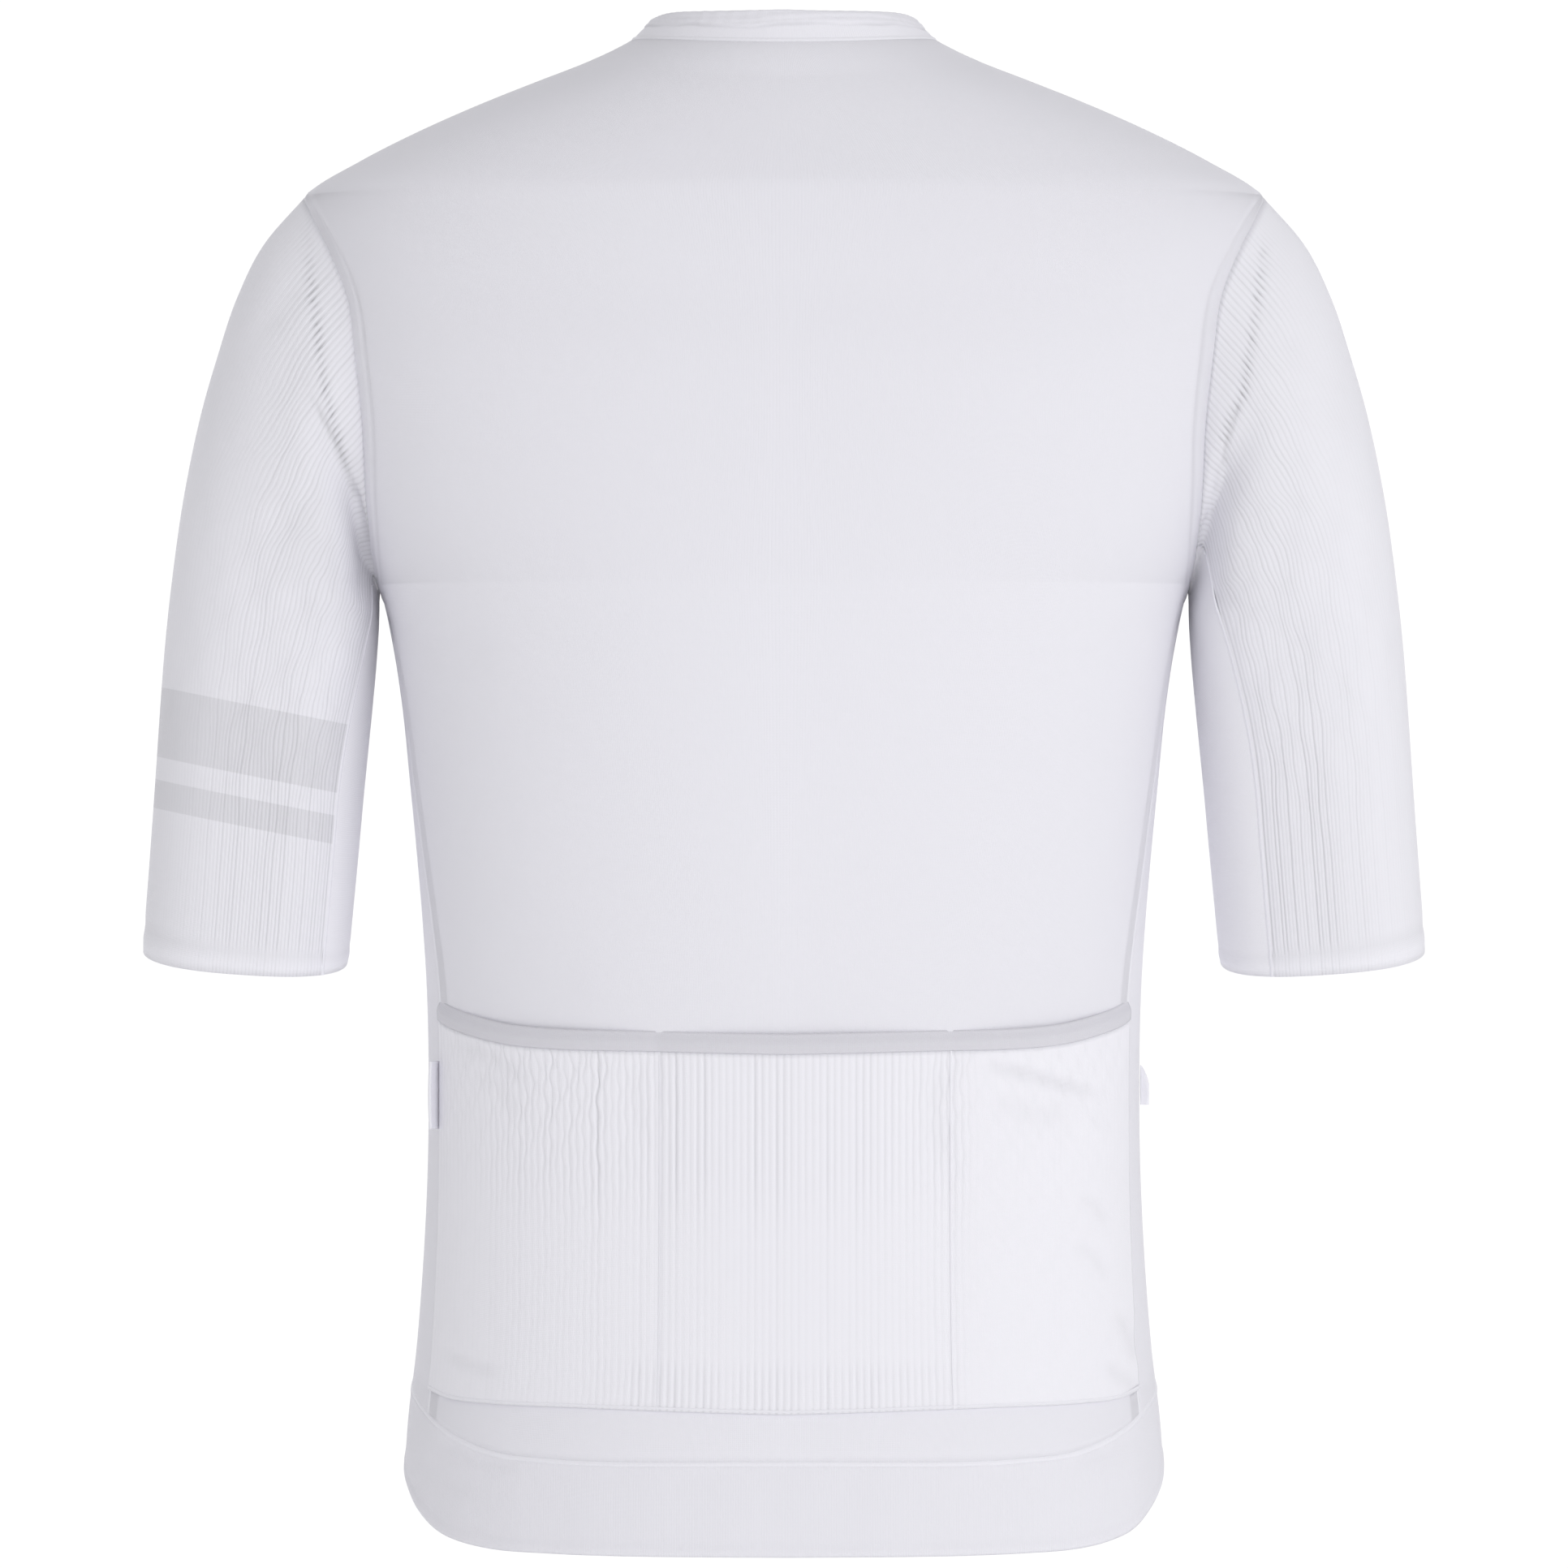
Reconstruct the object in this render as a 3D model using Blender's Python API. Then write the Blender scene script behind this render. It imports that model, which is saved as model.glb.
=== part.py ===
"""Cycling jersey, filled out as worn with nobody in it: cut cloth walls, zip, slider and pull.

Front of the garment faces -Y, its back +Y, the wearer's left is +X. The origin is the middle of
the neck, level with the seam under the collar at the back. Every piece of cloth is a wall of its
own, 0.3 mm from the piece it is sewn to.
"""
import math

import bmesh
import bpy
import numpy as np
from mathutils import Matrix, Vector

for leftover in list(bpy.data.objects):
    bpy.data.objects.remove(leftover, do_unlink=True)

# ---------------------------------------------------------------- driving sizes, in metres
CLOTH = 0.0012            # wall of the body and sleeve cloth
POCKET_CLOTH = 0.0010     # wall of the pocket cloth, which is a lighter rib
COLLAR_CLOTH = 0.0016     # two layers, turned over at the top
BAND_CLOTH = 0.0014       # elastic band round the hem
SEAM_PULL = 0.00017       # each edge stands back this far from its seam line
ON_PANEL = 0.0004         # from a panel to what is laid on it

SHOULDER_TIP_Z = -0.068   # top of the armhole
UNDERARM_Z = -0.240       # bottom of the armhole
ARMHOLE_DEPTH = (0.058, 0.062)     # half width of the armhole, back and front
ARMHOLE_STEPS = 12        # steps from the top of the armhole down to its bottom
SIDE_STEPS = 1            # the lowest of those steps lie on the side panel
NECK_HALF_WIDTH = 0.066
NECK_DROP = 0.070         # the front of the neck lies this far below the shoulders' neck points
BACK_NECK_DIP = 0.0038    # and the back of the neck this far

TAPE_WIDTH = 0.0088       # grey tape along the pocket mouth
POCKET_SEAMS_X = (0.0533, -0.0713)  # where the two dividing seams run, left and right
POCKET_FULLNESS = 0.0022  # the empty pocket stands off the back this far at its mouth
RIB_PITCH = 0.0030
RIB_RISE = 0.00045
SLEEVE_RIBS = 63          # ribs round the ribbed part of a sleeve

TAB_CLOTH = 0.0020        # the side tabs, each a strip folded double

ZIP_HALF_WIDTH = 0.0062   # tape of the zip, from its middle to the edge of the cloth
CHAIN_HALF_WIDTH = 0.0026
CHAIN_RISE = 0.0011
CHAIN_SLOPE = 0.0004      # the chain's sides slope by this much
FRONT_COLLAR_HEIGHT = 0.022
NECK_CENTRE_Y = 0.004     # the collar leans in towards this line

# height, half width, depth behind and in front of the side line, squareness of the ring
BODY_RINGS = (
    (0.012, 0.060, 0.056, 0.036, 2.00),
    (0.000, 0.066, 0.060, 0.040, 2.00),
    (-0.0036, 0.0725, 0.0625, 0.042, 2.00),
    (-0.0106, 0.0878, 0.0670, 0.045, 2.02),
    (-0.0177, 0.1062, 0.0715, 0.048, 2.03),
    (-0.0282, 0.1325, 0.0780, 0.052, 2.05),
    (-0.0410, 0.1612, 0.0850, 0.057, 2.10),
    (-0.0530, 0.1846, 0.0912, 0.061, 2.15),
    (-0.0680, 0.2075, 0.0980, 0.066, 2.20),
    (-0.076, 0.2085, 0.1008, 0.070, 2.22),
    (-0.092, 0.2070, 0.1056, 0.0785, 2.26),
    (-0.112, 0.2038, 0.1100, 0.0855, 2.30),
    (-0.139, 0.2018, 0.116, 0.097, 2.32),
    (-0.1715, 0.1962, 0.119, 0.106, 2.34),
    (-0.200, 0.1897, 0.1200, 0.111, 2.35),
    (-0.222, 0.1822, 0.1200, 0.113, 2.35),
    (-0.240, 0.1752, 0.1195, 0.114, 2.35),
    (-0.263, 0.1700, 0.1180, 0.114, 2.35),
    (-0.2866, 0.1663, 0.1160, 0.113, 2.34),
    (-0.3233, 0.1625, 0.1120, 0.111, 2.33),
    (-0.3558, 0.1594, 0.1080, 0.109, 2.32),
    (-0.3819, 0.1572, 0.1050, 0.107, 2.31),
    (-0.410, 0.1554, 0.1020, 0.105, 2.30),
    (-0.450, 0.1545, 0.1005, 0.104, 2.30),
    (-0.493, 0.1550, 0.1010, 0.1035, 2.30),
    (-0.541, 0.1575, 0.1050, 0.104, 2.30),
    (-0.569, 0.1598, 0.1078, 0.105, 2.30),
    (-0.602, 0.1637, 0.1108, 0.106, 2.30),
    (-0.6177, 0.1648, 0.1115, 0.1065, 2.30),
    (-0.662, 0.1652, 0.1118, 0.1065, 2.30),
)

# angle from the side line in degrees (below 0 in front, above 0 behind), height of each line
LEVEL_LINES = {
    "pocket_mouth": ((-90, -0.404), (-30, -0.405), (0, -0.408), (12, -0.4125), (20, -0.4173),
                     (33, -0.4226), (45, -0.4265), (55, -0.4279), (70, -0.4286), (90, -0.4298)),
    "pocket_foot": ((-90, -0.540), (-45, -0.548), (-20, -0.559), (0, -0.571), (14, -0.5814),
                    (21, -0.5842), (29, -0.5873), (42, -0.5888), (60, -0.5894), (75, -0.5904),
                    (90, -0.5917)),
    "band_seam": ((-90, -0.553), (-45, -0.559), (-20, -0.570), (0, -0.584), (14, -0.5903),
                  (26, -0.5995), (36, -0.6063), (45, -0.6107), (55, -0.6125), (90, -0.6129)),
    "hem": ((-90, -0.592), (-60, -0.5935), (-40, -0.597), (-20, -0.604), (0, -0.6175),
            (9, -0.6267), (18, -0.6361), (27.6, -0.6448), (34.5, -0.6482), (43.8, -0.6509),
            (54.8, -0.6518), (90, -0.6525)),
}

# height, angle of the side panel's seam behind the side line, and in front of it
SIDE_SEAMS = ((-0.237, 5.3, 4.6), (-0.300, 9.0, 10.0), (-0.360, 13.5, 16.0), (-0.410, 17.6, 20.0),
              (-0.4755, 18.3, 22.0), (-0.530, 19.5, 23.0), (-0.595, 21.1, 24.0), (-0.662, 22, 24.5))

# share of the sleeve's length: outer edge x and z, inner edge x and z, half depth, middle y
SLEEVE_SECTIONS = (
    (0.00, 0.2075, -0.0680, 0.1752, -0.2400, 0.058, -0.002),
    (0.06, 0.2242, -0.0868, 0.1755, -0.2440, 0.062, -0.003),
    (0.14, 0.2368, -0.1105, 0.1758, -0.2490, 0.0645, -0.004),
    (0.23, 0.2466, -0.1390, 0.1763, -0.2560, 0.0645, -0.005),
    (0.33, 0.2547, -0.1673, 0.1770, -0.2640, 0.0620, -0.006),
    (0.43, 0.2614, -0.1998, 0.1780, -0.2760, 0.0580, -0.007),
    (0.53, 0.2661, -0.2323, 0.1795, -0.2920, 0.0545, -0.008),
    (0.64, 0.2697, -0.2651, 0.1815, -0.3120, 0.0515, -0.009),
    (0.73, 0.2719, -0.2933, 0.1833, -0.3300, 0.0492, -0.010),
    (0.82, 0.2740, -0.3233, 0.1853, -0.3520, 0.0470, -0.011),
    (0.91, 0.2764, -0.3558, 0.1876, -0.3760, 0.0452, -0.012),
    (1.00, 0.2795, -0.3950, 0.1900, -0.4010, 0.0435, -0.013),
)
SLEEVE_SQUARE = 2.5       # how square the sleeve's section is: 2 is an ellipse
CUFF_DROP = 0.0080        # the cuff hangs this much lower at the back, and is higher in front
SLEEVE_BLEND = 0.42       # share of the sleeve over which it leaves the armhole's shape
SLEEVE_STANDOFF = 0.00050  # the sleeve starts this far outside the armhole
SLEEVE_ROWS = (0.0, 0.05, 0.12, 0.20, 0.29, 0.39, 0.51, 0.72, 0.97, 1.0)

# where the smooth underarm piece meets the ribbed one: angles at the armhole and at the cuff,
# from the top of the sleeve round its back
UNDER_SEAMS = {"left": ((160, 136.5), (205, 222.5)), "right": ((141, 120), (200, 213.5))}

# the drag folds from the underarm: where each runs (x, z), how deep and how wide it is
SLEEVE_FOLDS = {
    "back": (((0.207, -0.150), (0.181, -0.212), (0.1775, -0.236)), 0.0055, 0.0085),
    "front": (((0.212, -0.158), (0.188, -0.205), (0.1785, -0.234)), 0.0040, 0.0095),
}

COLOURS = {
    "cloth": (0.82, 0.82, 0.86, 1), "rib": (0.86, 0.86, 0.90, 1), "band": (0.84, 0.84, 0.88, 1),
    "tape": (0.62, 0.62, 0.65, 1), "tab": (0.88, 0.88, 0.90, 1), "zip": (0.80, 0.80, 0.83, 1),
    "metal": (0.70, 0.71, 0.73, 1),
}


# ---------------------------------------------------------------- small helpers
def smooth_curve(stations, values):
    """A smooth curve through the stations, as a function."""
    order = np.argsort(stations)
    at = np.array(stations, float)[order]
    value = np.array(values, float)[order]
    slope = np.gradient(value, at)

    def curve(where):
        where = min(max(where, at[0]), at[-1])
        cell = min(int(np.searchsorted(at, where, side="right")) - 1, len(at) - 2)
        span = at[cell + 1] - at[cell]
        t = (where - at[cell]) / span
        start, end = value[cell], value[cell + 1]
        rise_in, rise_out = slope[cell] * span, slope[cell + 1] * span
        return float(start * (1 + 2 * t) * (1 - t) ** 2 + rise_in * t * (1 - t) ** 2
                     + end * t * t * (3 - 2 * t) + rise_out * t * t * (t - 1))
    return curve


def columns(table):
    """One smooth curve for each column after the first."""
    by_column = list(zip(*table))
    return [smooth_curve(by_column[0], column) for column in by_column[1:]]


def ease(t):
    t = min(max(t, 0.0), 1.0)
    return t * t * (3 - 2 * t)


def mix(a, b, t):
    return a + (b - a) * t


HALF_WIDTH, BACK_DEPTH, FRONT_DEPTH, SQUARENESS = columns(BODY_RINGS)
LINE = {name: columns(table)[0] for name, table in LEVEL_LINES.items()}
BACK_SEAM, FRONT_SEAM = columns(SIDE_SEAMS)
QUARTER = math.pi / 2


# ---------------------------------------------------------------- the body's surface
def body_point(side, angle, z):
    """A point of the body: angle 0 is the side line, +90 degrees the middle of the back."""
    power = 2 / SQUARENESS(z)
    depth = BACK_DEPTH(z) if angle >= 0 else FRONT_DEPTH(z)
    across = math.copysign(abs(math.cos(angle)) ** power, math.cos(angle))
    along = math.copysign(abs(math.sin(angle)) ** power, math.sin(angle))
    return Vector((side * HALF_WIDTH(z) * across, depth * along, z))


def body_normal(side, angle, z):
    step = 1e-4
    around = body_point(side, angle + 20 * step, z) - body_point(side, angle - 20 * step, z)
    down = body_point(side, angle, z + step) - body_point(side, angle, z - step)
    normal = around.cross(down).normalized()
    here = body_point(side, angle, z)
    return normal if normal.dot(Vector((here.x, here.y, 0))) > 0 else -normal


def angle_at_x(x, z, behind):
    ratio = min(abs(x) / HALF_WIDTH(z), 1.0)
    angle = math.acos(ratio ** (SQUARENESS(z) / 2))
    return angle if behind else -angle


def angle_at_y(y, z):
    depth = BACK_DEPTH(z) if y >= 0 else FRONT_DEPTH(z)
    return math.copysign(math.asin(min(abs(y) / depth, 1.0) ** (SQUARENESS(z) / 2)), y)


def armhole_spot(turn):
    """Angle and height on the body where the armhole passes; turn 0 is its top."""
    middle = (SHOULDER_TIP_Z + UNDERARM_Z) / 2
    z = middle + (SHOULDER_TIP_Z - middle) * math.cos(turn)
    reach = ARMHOLE_DEPTH[0] if math.sin(turn) >= 0 else ARMHOLE_DEPTH[1]
    return angle_at_y(reach * math.sin(turn), z), z


# ---------------------------------------------------------------- rows and columns of the body
SHOULDER_ROWS = (0.0, -0.0095, -0.024, -0.044)
ARMHOLE_TURNS = [math.pi * step / ARMHOLE_STEPS for step in range(ARMHOLE_STEPS - SIDE_STEPS + 1)]
UPPER_ROWS = len(SHOULDER_ROWS) + len(ARMHOLE_TURNS)
SIDE_TOP_Z = armhole_spot(ARMHOLE_TURNS[-1])[1]
BACK_SHARES = {1: (0, .12, .245, .37, .5, .625, .75, .875, 1),
               -1: (0, .13, .26, .39, .52, .651, .77, .885, 1)}
FRONT_SHARES = (0, .12, .25, .38, .5, .625, .75, .875, 1)


def neck_spot(share, behind):
    """Angle and height of the neck seam, from the shoulder (share 0) to the middle (share 1)."""
    if behind:
        return QUARTER * share, -BACK_NECK_DIP * math.sin(QUARTER * share) ** 2
    z = -NECK_DROP * math.sin(QUARTER * share) ** 1.6
    x = NECK_HALF_WIDTH * math.cos(QUARTER * share) ** 0.9
    return angle_at_x(x, z, False) if share < 1 else -QUARTER, z


def centre_angle(z, behind):
    """The middle of the back, or the zip's edge in front."""
    return QUARTER if behind else angle_at_x(ZIP_HALF_WIDTH, z, False)


def upper_spot(row, share, behind):
    """Angle and height of a point above the underarm, from the outer edge to the middle."""
    if row < len(SHOULDER_ROWS):
        edge_angle, edge_z = 0.0, SHOULDER_ROWS[row]
    else:
        turn = ARMHOLE_TURNS[row - len(SHOULDER_ROWS)]
        edge_angle, edge_z = armhole_spot(turn if behind else -turn)
    lowered = row / (UPPER_ROWS - 1)
    neck_angle, neck_z = neck_spot(share, behind)
    middle_top = -BACK_NECK_DIP if behind else -NECK_DROP
    middle_z = mix(middle_top, SIDE_TOP_Z, lowered)
    drop = share if behind else neck_z / -NECK_DROP
    z = mix(edge_z, middle_z, mix(drop, ease(share), lowered))
    if row == 0:
        z = neck_z
    turned = mix(abs(neck_angle) / QUARTER, share, ease(lowered))
    end = abs(centre_angle(z, behind))
    angle = min(mix(abs(edge_angle), QUARTER, turned), end)
    if share == 1:
        angle = end
    return (angle if behind else -angle), z


LOWER_ROWS = ([("top", t) for t in (0, .14, .28, .43, .58, .72, .86)]
              + [("pocket_mouth", t) for t in (0, 1)]
              + [("pocket", t) for t in (.25, .5, .75)]
              + [("pocket_foot", 0), ("band_seam", 0)])


def line_z(row, angle):
    """Height of a lower row at an angle round the body."""
    zone, share = row
    degrees = math.degrees(angle)
    mouth, foot = LINE["pocket_mouth"](degrees), LINE["pocket_foot"](degrees)
    if zone == "top":
        return mix(SIDE_TOP_Z, mouth, share)
    if zone == "pocket_mouth":
        return mouth - TAPE_WIDTH * share
    if zone == "pocket":
        return mix(mouth - TAPE_WIDTH, foot, share)
    if zone == "pocket_foot":
        return foot
    if zone == "band":
        return mix(LINE["band_seam"](degrees), LINE["hem"](degrees), share)
    return LINE["band_seam"](degrees)


def seam_angle(row, behind):
    """The side seam's angle on a row; it depends on the height, which depends on the angle."""
    if row == LOWER_ROWS[0]:
        return armhole_spot(ARMHOLE_TURNS[-1] if behind else -ARMHOLE_TURNS[-1])[0]
    angle = 0.3 if behind else -0.3
    for _ in range(12):
        z = line_z(row, angle)
        angle = math.radians(BACK_SEAM(z)) if behind else -math.radians(FRONT_SEAM(z))
    return angle


def lower_spot(row, share, behind):
    """Angle and height of a point below the underarm, from the side seam to the middle."""
    start = seam_angle(row, behind)
    end = centre_angle(line_z(row, QUARTER if behind else -QUARTER), behind)
    angle = mix(start, end, share)
    return angle, line_z(row, angle)


def side_spot(row, share):
    """Angle and height on the side panel: share 0 is its front seam, 1 its back seam."""
    front, back = seam_angle(row, False), seam_angle(row, True)
    angle = mix(front, 0, share * 2) if share < 0.5 else mix(0, back, share * 2 - 1)
    z = line_z(row, angle)
    if row == LOWER_ROWS[0]:
        z = mix(SIDE_TOP_Z, UNDERARM_Z, 1 - abs(share * 2 - 1))
    return angle, z


# ---------------------------------------------------------------- walls
def pulled_back(grid, edges):
    """Move the grid's edge points a little way in, to leave the gap at each seam."""
    moved = [[point.copy() for point in row] for row in grid]
    last_row, last_column = len(grid) - 1, len(grid[0]) - 1

    def step(a, b):
        return (b - a).normalized() * SEAM_PULL
    for i, row in enumerate(grid):
        for j, point in enumerate(row):
            if i == 0 and "top" in edges:
                moved[i][j] += step(point, grid[1][j])
            if i == last_row and "foot" in edges:
                moved[i][j] += step(point, grid[last_row - 1][j])
            if j == 0 and "start" in edges:
                moved[i][j] += step(point, row[1])
            if j == last_column and "end" in edges:
                moved[i][j] += step(point, row[last_column - 1])
    return moved


def material(name, roughness=0.8, metallic=0.0):
    paint = bpy.data.materials.new(name)
    paint.use_nodes = True
    shader = paint.node_tree.nodes["Principled BSDF"]
    shader.inputs["Base Color"].default_value = COLOURS[name.split(".")[0]]
    shader.inputs["Roughness"].default_value = roughness
    shader.inputs["Metallic"].default_value = metallic
    return paint


def finish(name, mesh_builder, colour, roughness=0.8, metallic=0.0, sharp=40):
    """Turn a bmesh into the node's object, with its own material and smooth shading."""
    bmesh.ops.recalc_face_normals(mesh_builder, faces=mesh_builder.faces)
    mesh = bpy.data.meshes.new(name)
    mesh_builder.to_mesh(mesh)
    mesh_builder.free()
    mesh.shade_smooth()
    mesh.set_sharp_from_angle(angle=math.radians(sharp))
    thing = bpy.data.objects.new(name, mesh)
    mesh.materials.append(material(colour + "." + name, roughness, metallic))
    bpy.context.scene.collection.objects.link(thing)
    return thing


def wall(name, outer, inner, colour, marks=None):
    """A closed wall between two grids of points.

    The outer grid may have more columns than the inner one; marks gives the outer column that
    stands over each inner column.
    """
    builder = bmesh.new()
    far = [[builder.verts.new(point) for point in row] for row in outer]
    near = [[builder.verts.new(point) for point in row] for row in inner]
    marks = marks or list(range(len(inner[0])))

    def skin(rows, columns_count):
        for i in range(len(rows) - 1):
            for j in range(columns_count - 1):
                quad = (rows[i][j], rows[i][j + 1], rows[i + 1][j + 1], rows[i + 1][j])
                # split along the shorter diagonal, so that bent cells stay smooth
                if (quad[0].co - quad[2].co).length <= (quad[1].co - quad[3].co).length:
                    builder.faces.new((quad[0], quad[1], quad[2]))
                    builder.faces.new((quad[0], quad[2], quad[3]))
                else:
                    builder.faces.new((quad[0], quad[1], quad[3]))
                    builder.faces.new((quad[1], quad[2], quad[3]))
    skin(far, len(outer[0]))
    skin(near, len(inner[0]))
    for i in (0, len(far) - 1):
        for j in range(len(marks) - 1):
            run = far[i][marks[j]:marks[j + 1] + 1]
            half = len(run) // 2
            for a, b in zip(run[:half], run[1:half + 1]):
                builder.faces.new((a, b, near[i][j]))
            for a, b in zip(run[half:-1], run[half + 1:]):
                builder.faces.new((a, b, near[i][j + 1]))
            builder.faces.new((run[half], near[i][j], near[i][j + 1]))
    for a, b in ((0, 0), (-1, -1)):
        for i in range(len(far) - 1):
            builder.faces.new((far[i][a], far[i + 1][a], near[i + 1][b]))
            builder.faces.new((far[i][a], near[i + 1][b], near[i][b]))
    return finish(name, builder, colour)


def body_panel(name, spots, sides, edges, thickness, colour, lift=None):
    """A panel of the body from rows of (angle, height) and the side each column is on."""
    grid, normals = [], []
    for row in spots:
        grid.append([body_point(side, *spot) for side, spot in zip(sides, row)])
        normals.append([body_normal(side, *spot) for side, spot in zip(sides, row)])
    pulled = pulled_back(grid, edges)
    rows, width = range(len(grid)), range(len(sides))
    raise_by = [[lift(i, j) if lift else 0.0 for j in width] for i in rows]
    outer = [[pulled[i][j] + normals[i][j] * raise_by[i][j] for j in width] for i in rows]
    inner = [[outer[i][j] - normals[i][j] * thickness for j in width] for i in rows]
    return wall(name, outer, inner, colour)


def back_columns():
    """Side and share of each column of the back, from the wearer's left to right."""
    left = [(1, share) for share in BACK_SHARES[1]]
    right = [(-1, share) for share in reversed(BACK_SHARES[-1][:-1])]
    return left + right


def back_panel():
    cols = back_columns()
    spots = [[upper_spot(row, share, True) for _, share in cols] for row in range(UPPER_ROWS)]
    spots += [[lower_spot(row, share, True) for _, share in cols] for row in LOWER_ROWS[1:]]
    body_panel("back_panel", spots, [side for side, _ in cols], ("top", "foot", "start", "end"),
               CLOTH, "cloth")


def front_panel(name, side):
    spots = [[upper_spot(row, share, False) for share in FRONT_SHARES] for row in range(UPPER_ROWS)]
    spots += [[lower_spot(row, share, False) for share in FRONT_SHARES] for row in LOWER_ROWS[1:]]
    body_panel(name, spots, [side] * len(FRONT_SHARES), ("top", "foot", "start", "end"),
               CLOTH, "cloth")


def side_panel(name, side):
    shares = (0, .25, .5, .75, 1)
    spots = [[side_spot(row, share) for share in shares] for row in LOWER_ROWS]
    body_panel(name, spots, [side] * len(shares), ("top", "foot", "start", "end"), CLOTH, "cloth")


def hem_band():
    """The elastic band, from one side of the zip round the back to the other."""
    rows = [("band", t) for t in (0, .1, .4, .7, 1)]
    front = [("front", 1, share) for share in reversed(FRONT_SHARES)]
    side = [("side", 1, share) for share in (.25, .5, .75)]
    half = front + side + [("back", 1, share) for share in BACK_SHARES[1]]
    other = ([("front", -1, share) for share in reversed(FRONT_SHARES)]
             + [("side", -1, share) for share in (.25, .5, .75)]
             + [("back", -1, share) for share in BACK_SHARES[-1][:-1]])
    cols = half + other[::-1]

    def spot(row, kind, share):
        if kind == "side":
            return side_spot(row, share)
        return lower_spot(row, share, kind == "back")
    spots = [[spot(row, kind, share) for kind, _, share in cols] for row in rows]
    ridge = (0.0, 0.0006, 0.0002, 0.0002, 0.0)
    body_panel("hem_band", spots, [side for _, side, _ in cols], ("top", "start", "end"),
               BAND_CLOTH, "band", lift=lambda i, j: ridge[i])


# ---------------------------------------------------------------- pocket
def pocket_lift(side, angle, z, row_share):
    """How far the pocket stands off the back: full at the mouth, flat at each seam."""
    x = body_point(side, angle, z).x
    left, right = POCKET_SEAMS_X
    edge = abs(body_point(1, math.radians(19), z).x)
    stops = (edge, left, right, -edge)
    for outer, inner in zip(stops, stops[1:]):
        if inner <= x <= outer:
            across = math.sin(math.pi * (outer - x) / (outer - inner))
            return POCKET_FULLNESS * across ** 0.8 * (1 - ease(row_share)) ** 0.7
    return 0.0


def pocket_grid(rows, shares_down, thickness, ribbed):
    """Outer and inner points of a piece that lies on the back, and the marks between them."""
    cols = back_columns()
    marks, fine = [0], []
    widths = []
    middle = rows[len(rows) // 2]
    for (side_a, share_a), (side_b, share_b) in zip(cols, cols[1:]):
        a = body_point(side_a, *lower_spot(middle, share_a, True))
        b = body_point(side_b, *lower_spot(middle, share_b, True))
        widths.append((a - b).length)
    for cell, width in enumerate(widths):
        pieces = 2 * max(1, round(width / RIB_PITCH)) if ribbed else 1
        fine += [(cell, piece / pieces, piece % 2) for piece in range(pieces)]
        marks.append(marks[-1] + pieces)
    fine.append((len(widths) - 1, 1.0, 0))

    def corner(row, row_share, column, height):
        side, share = cols[column]
        angle, z = lower_spot(row, share, True)
        lift = ON_PANEL + height + pocket_lift(side, angle, z, row_share)
        return body_point(side, angle, z) + body_normal(side, angle, z) * lift

    def between(row, row_share, cell, part, height):
        (side_a, share_a), (side_b, share_b) = cols[cell], cols[cell + 1]
        angle, z = lower_spot(row, mix(share_a, share_b, part), True)
        side = side_a if share_a < 1 else side_b
        lift = ON_PANEL + height + pocket_lift(side, angle, z, row_share)
        return body_point(side, angle, z) + body_normal(side, angle, z) * lift
    outer, inner = [], []
    for number, (row, row_share) in enumerate(zip(rows, shares_down)):
        base = [corner(row, row_share, column, thickness) for column in range(len(cols))]
        if number in (0, len(rows) - 1):
            outer.append([base[cell].lerp(base[cell + 1], part) for cell, part, _ in fine])
        else:
            outer.append([between(row, row_share, cell, part, thickness + RIB_RISE * crest)
                          for cell, part, crest in fine])
        inner.append([corner(row, row_share, column, 0) for column in range(len(cols))])
    return outer, inner, marks


def pocket_pieces():
    rows = [("pocket_mouth", 1), ("pocket", .03), ("pocket", .25), ("pocket", .5), ("pocket", .75),
            ("pocket_foot", 0)]
    shares = (0.05, 0.08, 0.30, 0.55, 0.80, 1)
    outer, inner, marks = pocket_grid(rows, shares, POCKET_CLOTH, True)
    edges = ("top", "start", "end")
    wall("pocket_panel", pulled_back(outer, edges), pulled_back(inner, edges), "rib", marks)
    rows = [("pocket_mouth", 0), ("pocket_mouth", 1)]
    outer, inner, marks = pocket_grid(rows, (0, 0.05), POCKET_CLOTH + 0.0003, False)
    edges = ("foot", "start", "end")
    wall("pocket_tape", pulled_back(outer, edges), pulled_back(inner, edges), "tape", marks)


# ---------------------------------------------------------------- sleeves
(SLEEVE_OUT_X, SLEEVE_OUT_Z, SLEEVE_IN_X, SLEEVE_IN_Z, SLEEVE_HALF_DEPTH,
 SLEEVE_MIDDLE_Y) = columns(SLEEVE_SECTIONS)


def armhole_point(turn):
    """The armhole as the sewn edge of the body, straight between the body's own points."""
    step = math.pi / ARMHOLE_STEPS
    whole = math.floor(turn / step + 1e-6)
    ends = [body_point(1, *armhole_spot((whole + k) * step)) for k in (0, 1)]
    return ends[0].lerp(ends[1], turn / step - whole)


def section_point(share, turn):
    """Middle of the sleeve's section, a rounded oblong, and its point at a turn."""
    out = Vector((SLEEVE_OUT_X(share), 0, SLEEVE_OUT_Z(share)))
    inside = Vector((SLEEVE_IN_X(share), 0, SLEEVE_IN_Z(share)))
    middle = (out + inside) / 2 + Vector((0, SLEEVE_MIDDLE_Y(share), 0))
    across = (out - inside) / 2
    depth = Vector((0, SLEEVE_HALF_DEPTH(share), -CUFF_DROP * share * share))
    c, s = math.cos(turn), math.sin(turn)
    square = (abs(c) ** SLEEVE_SQUARE + abs(s) ** SLEEVE_SQUARE) ** (-1 / SLEEVE_SQUARE)
    return middle, middle + (across * c + depth * s) * square


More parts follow.
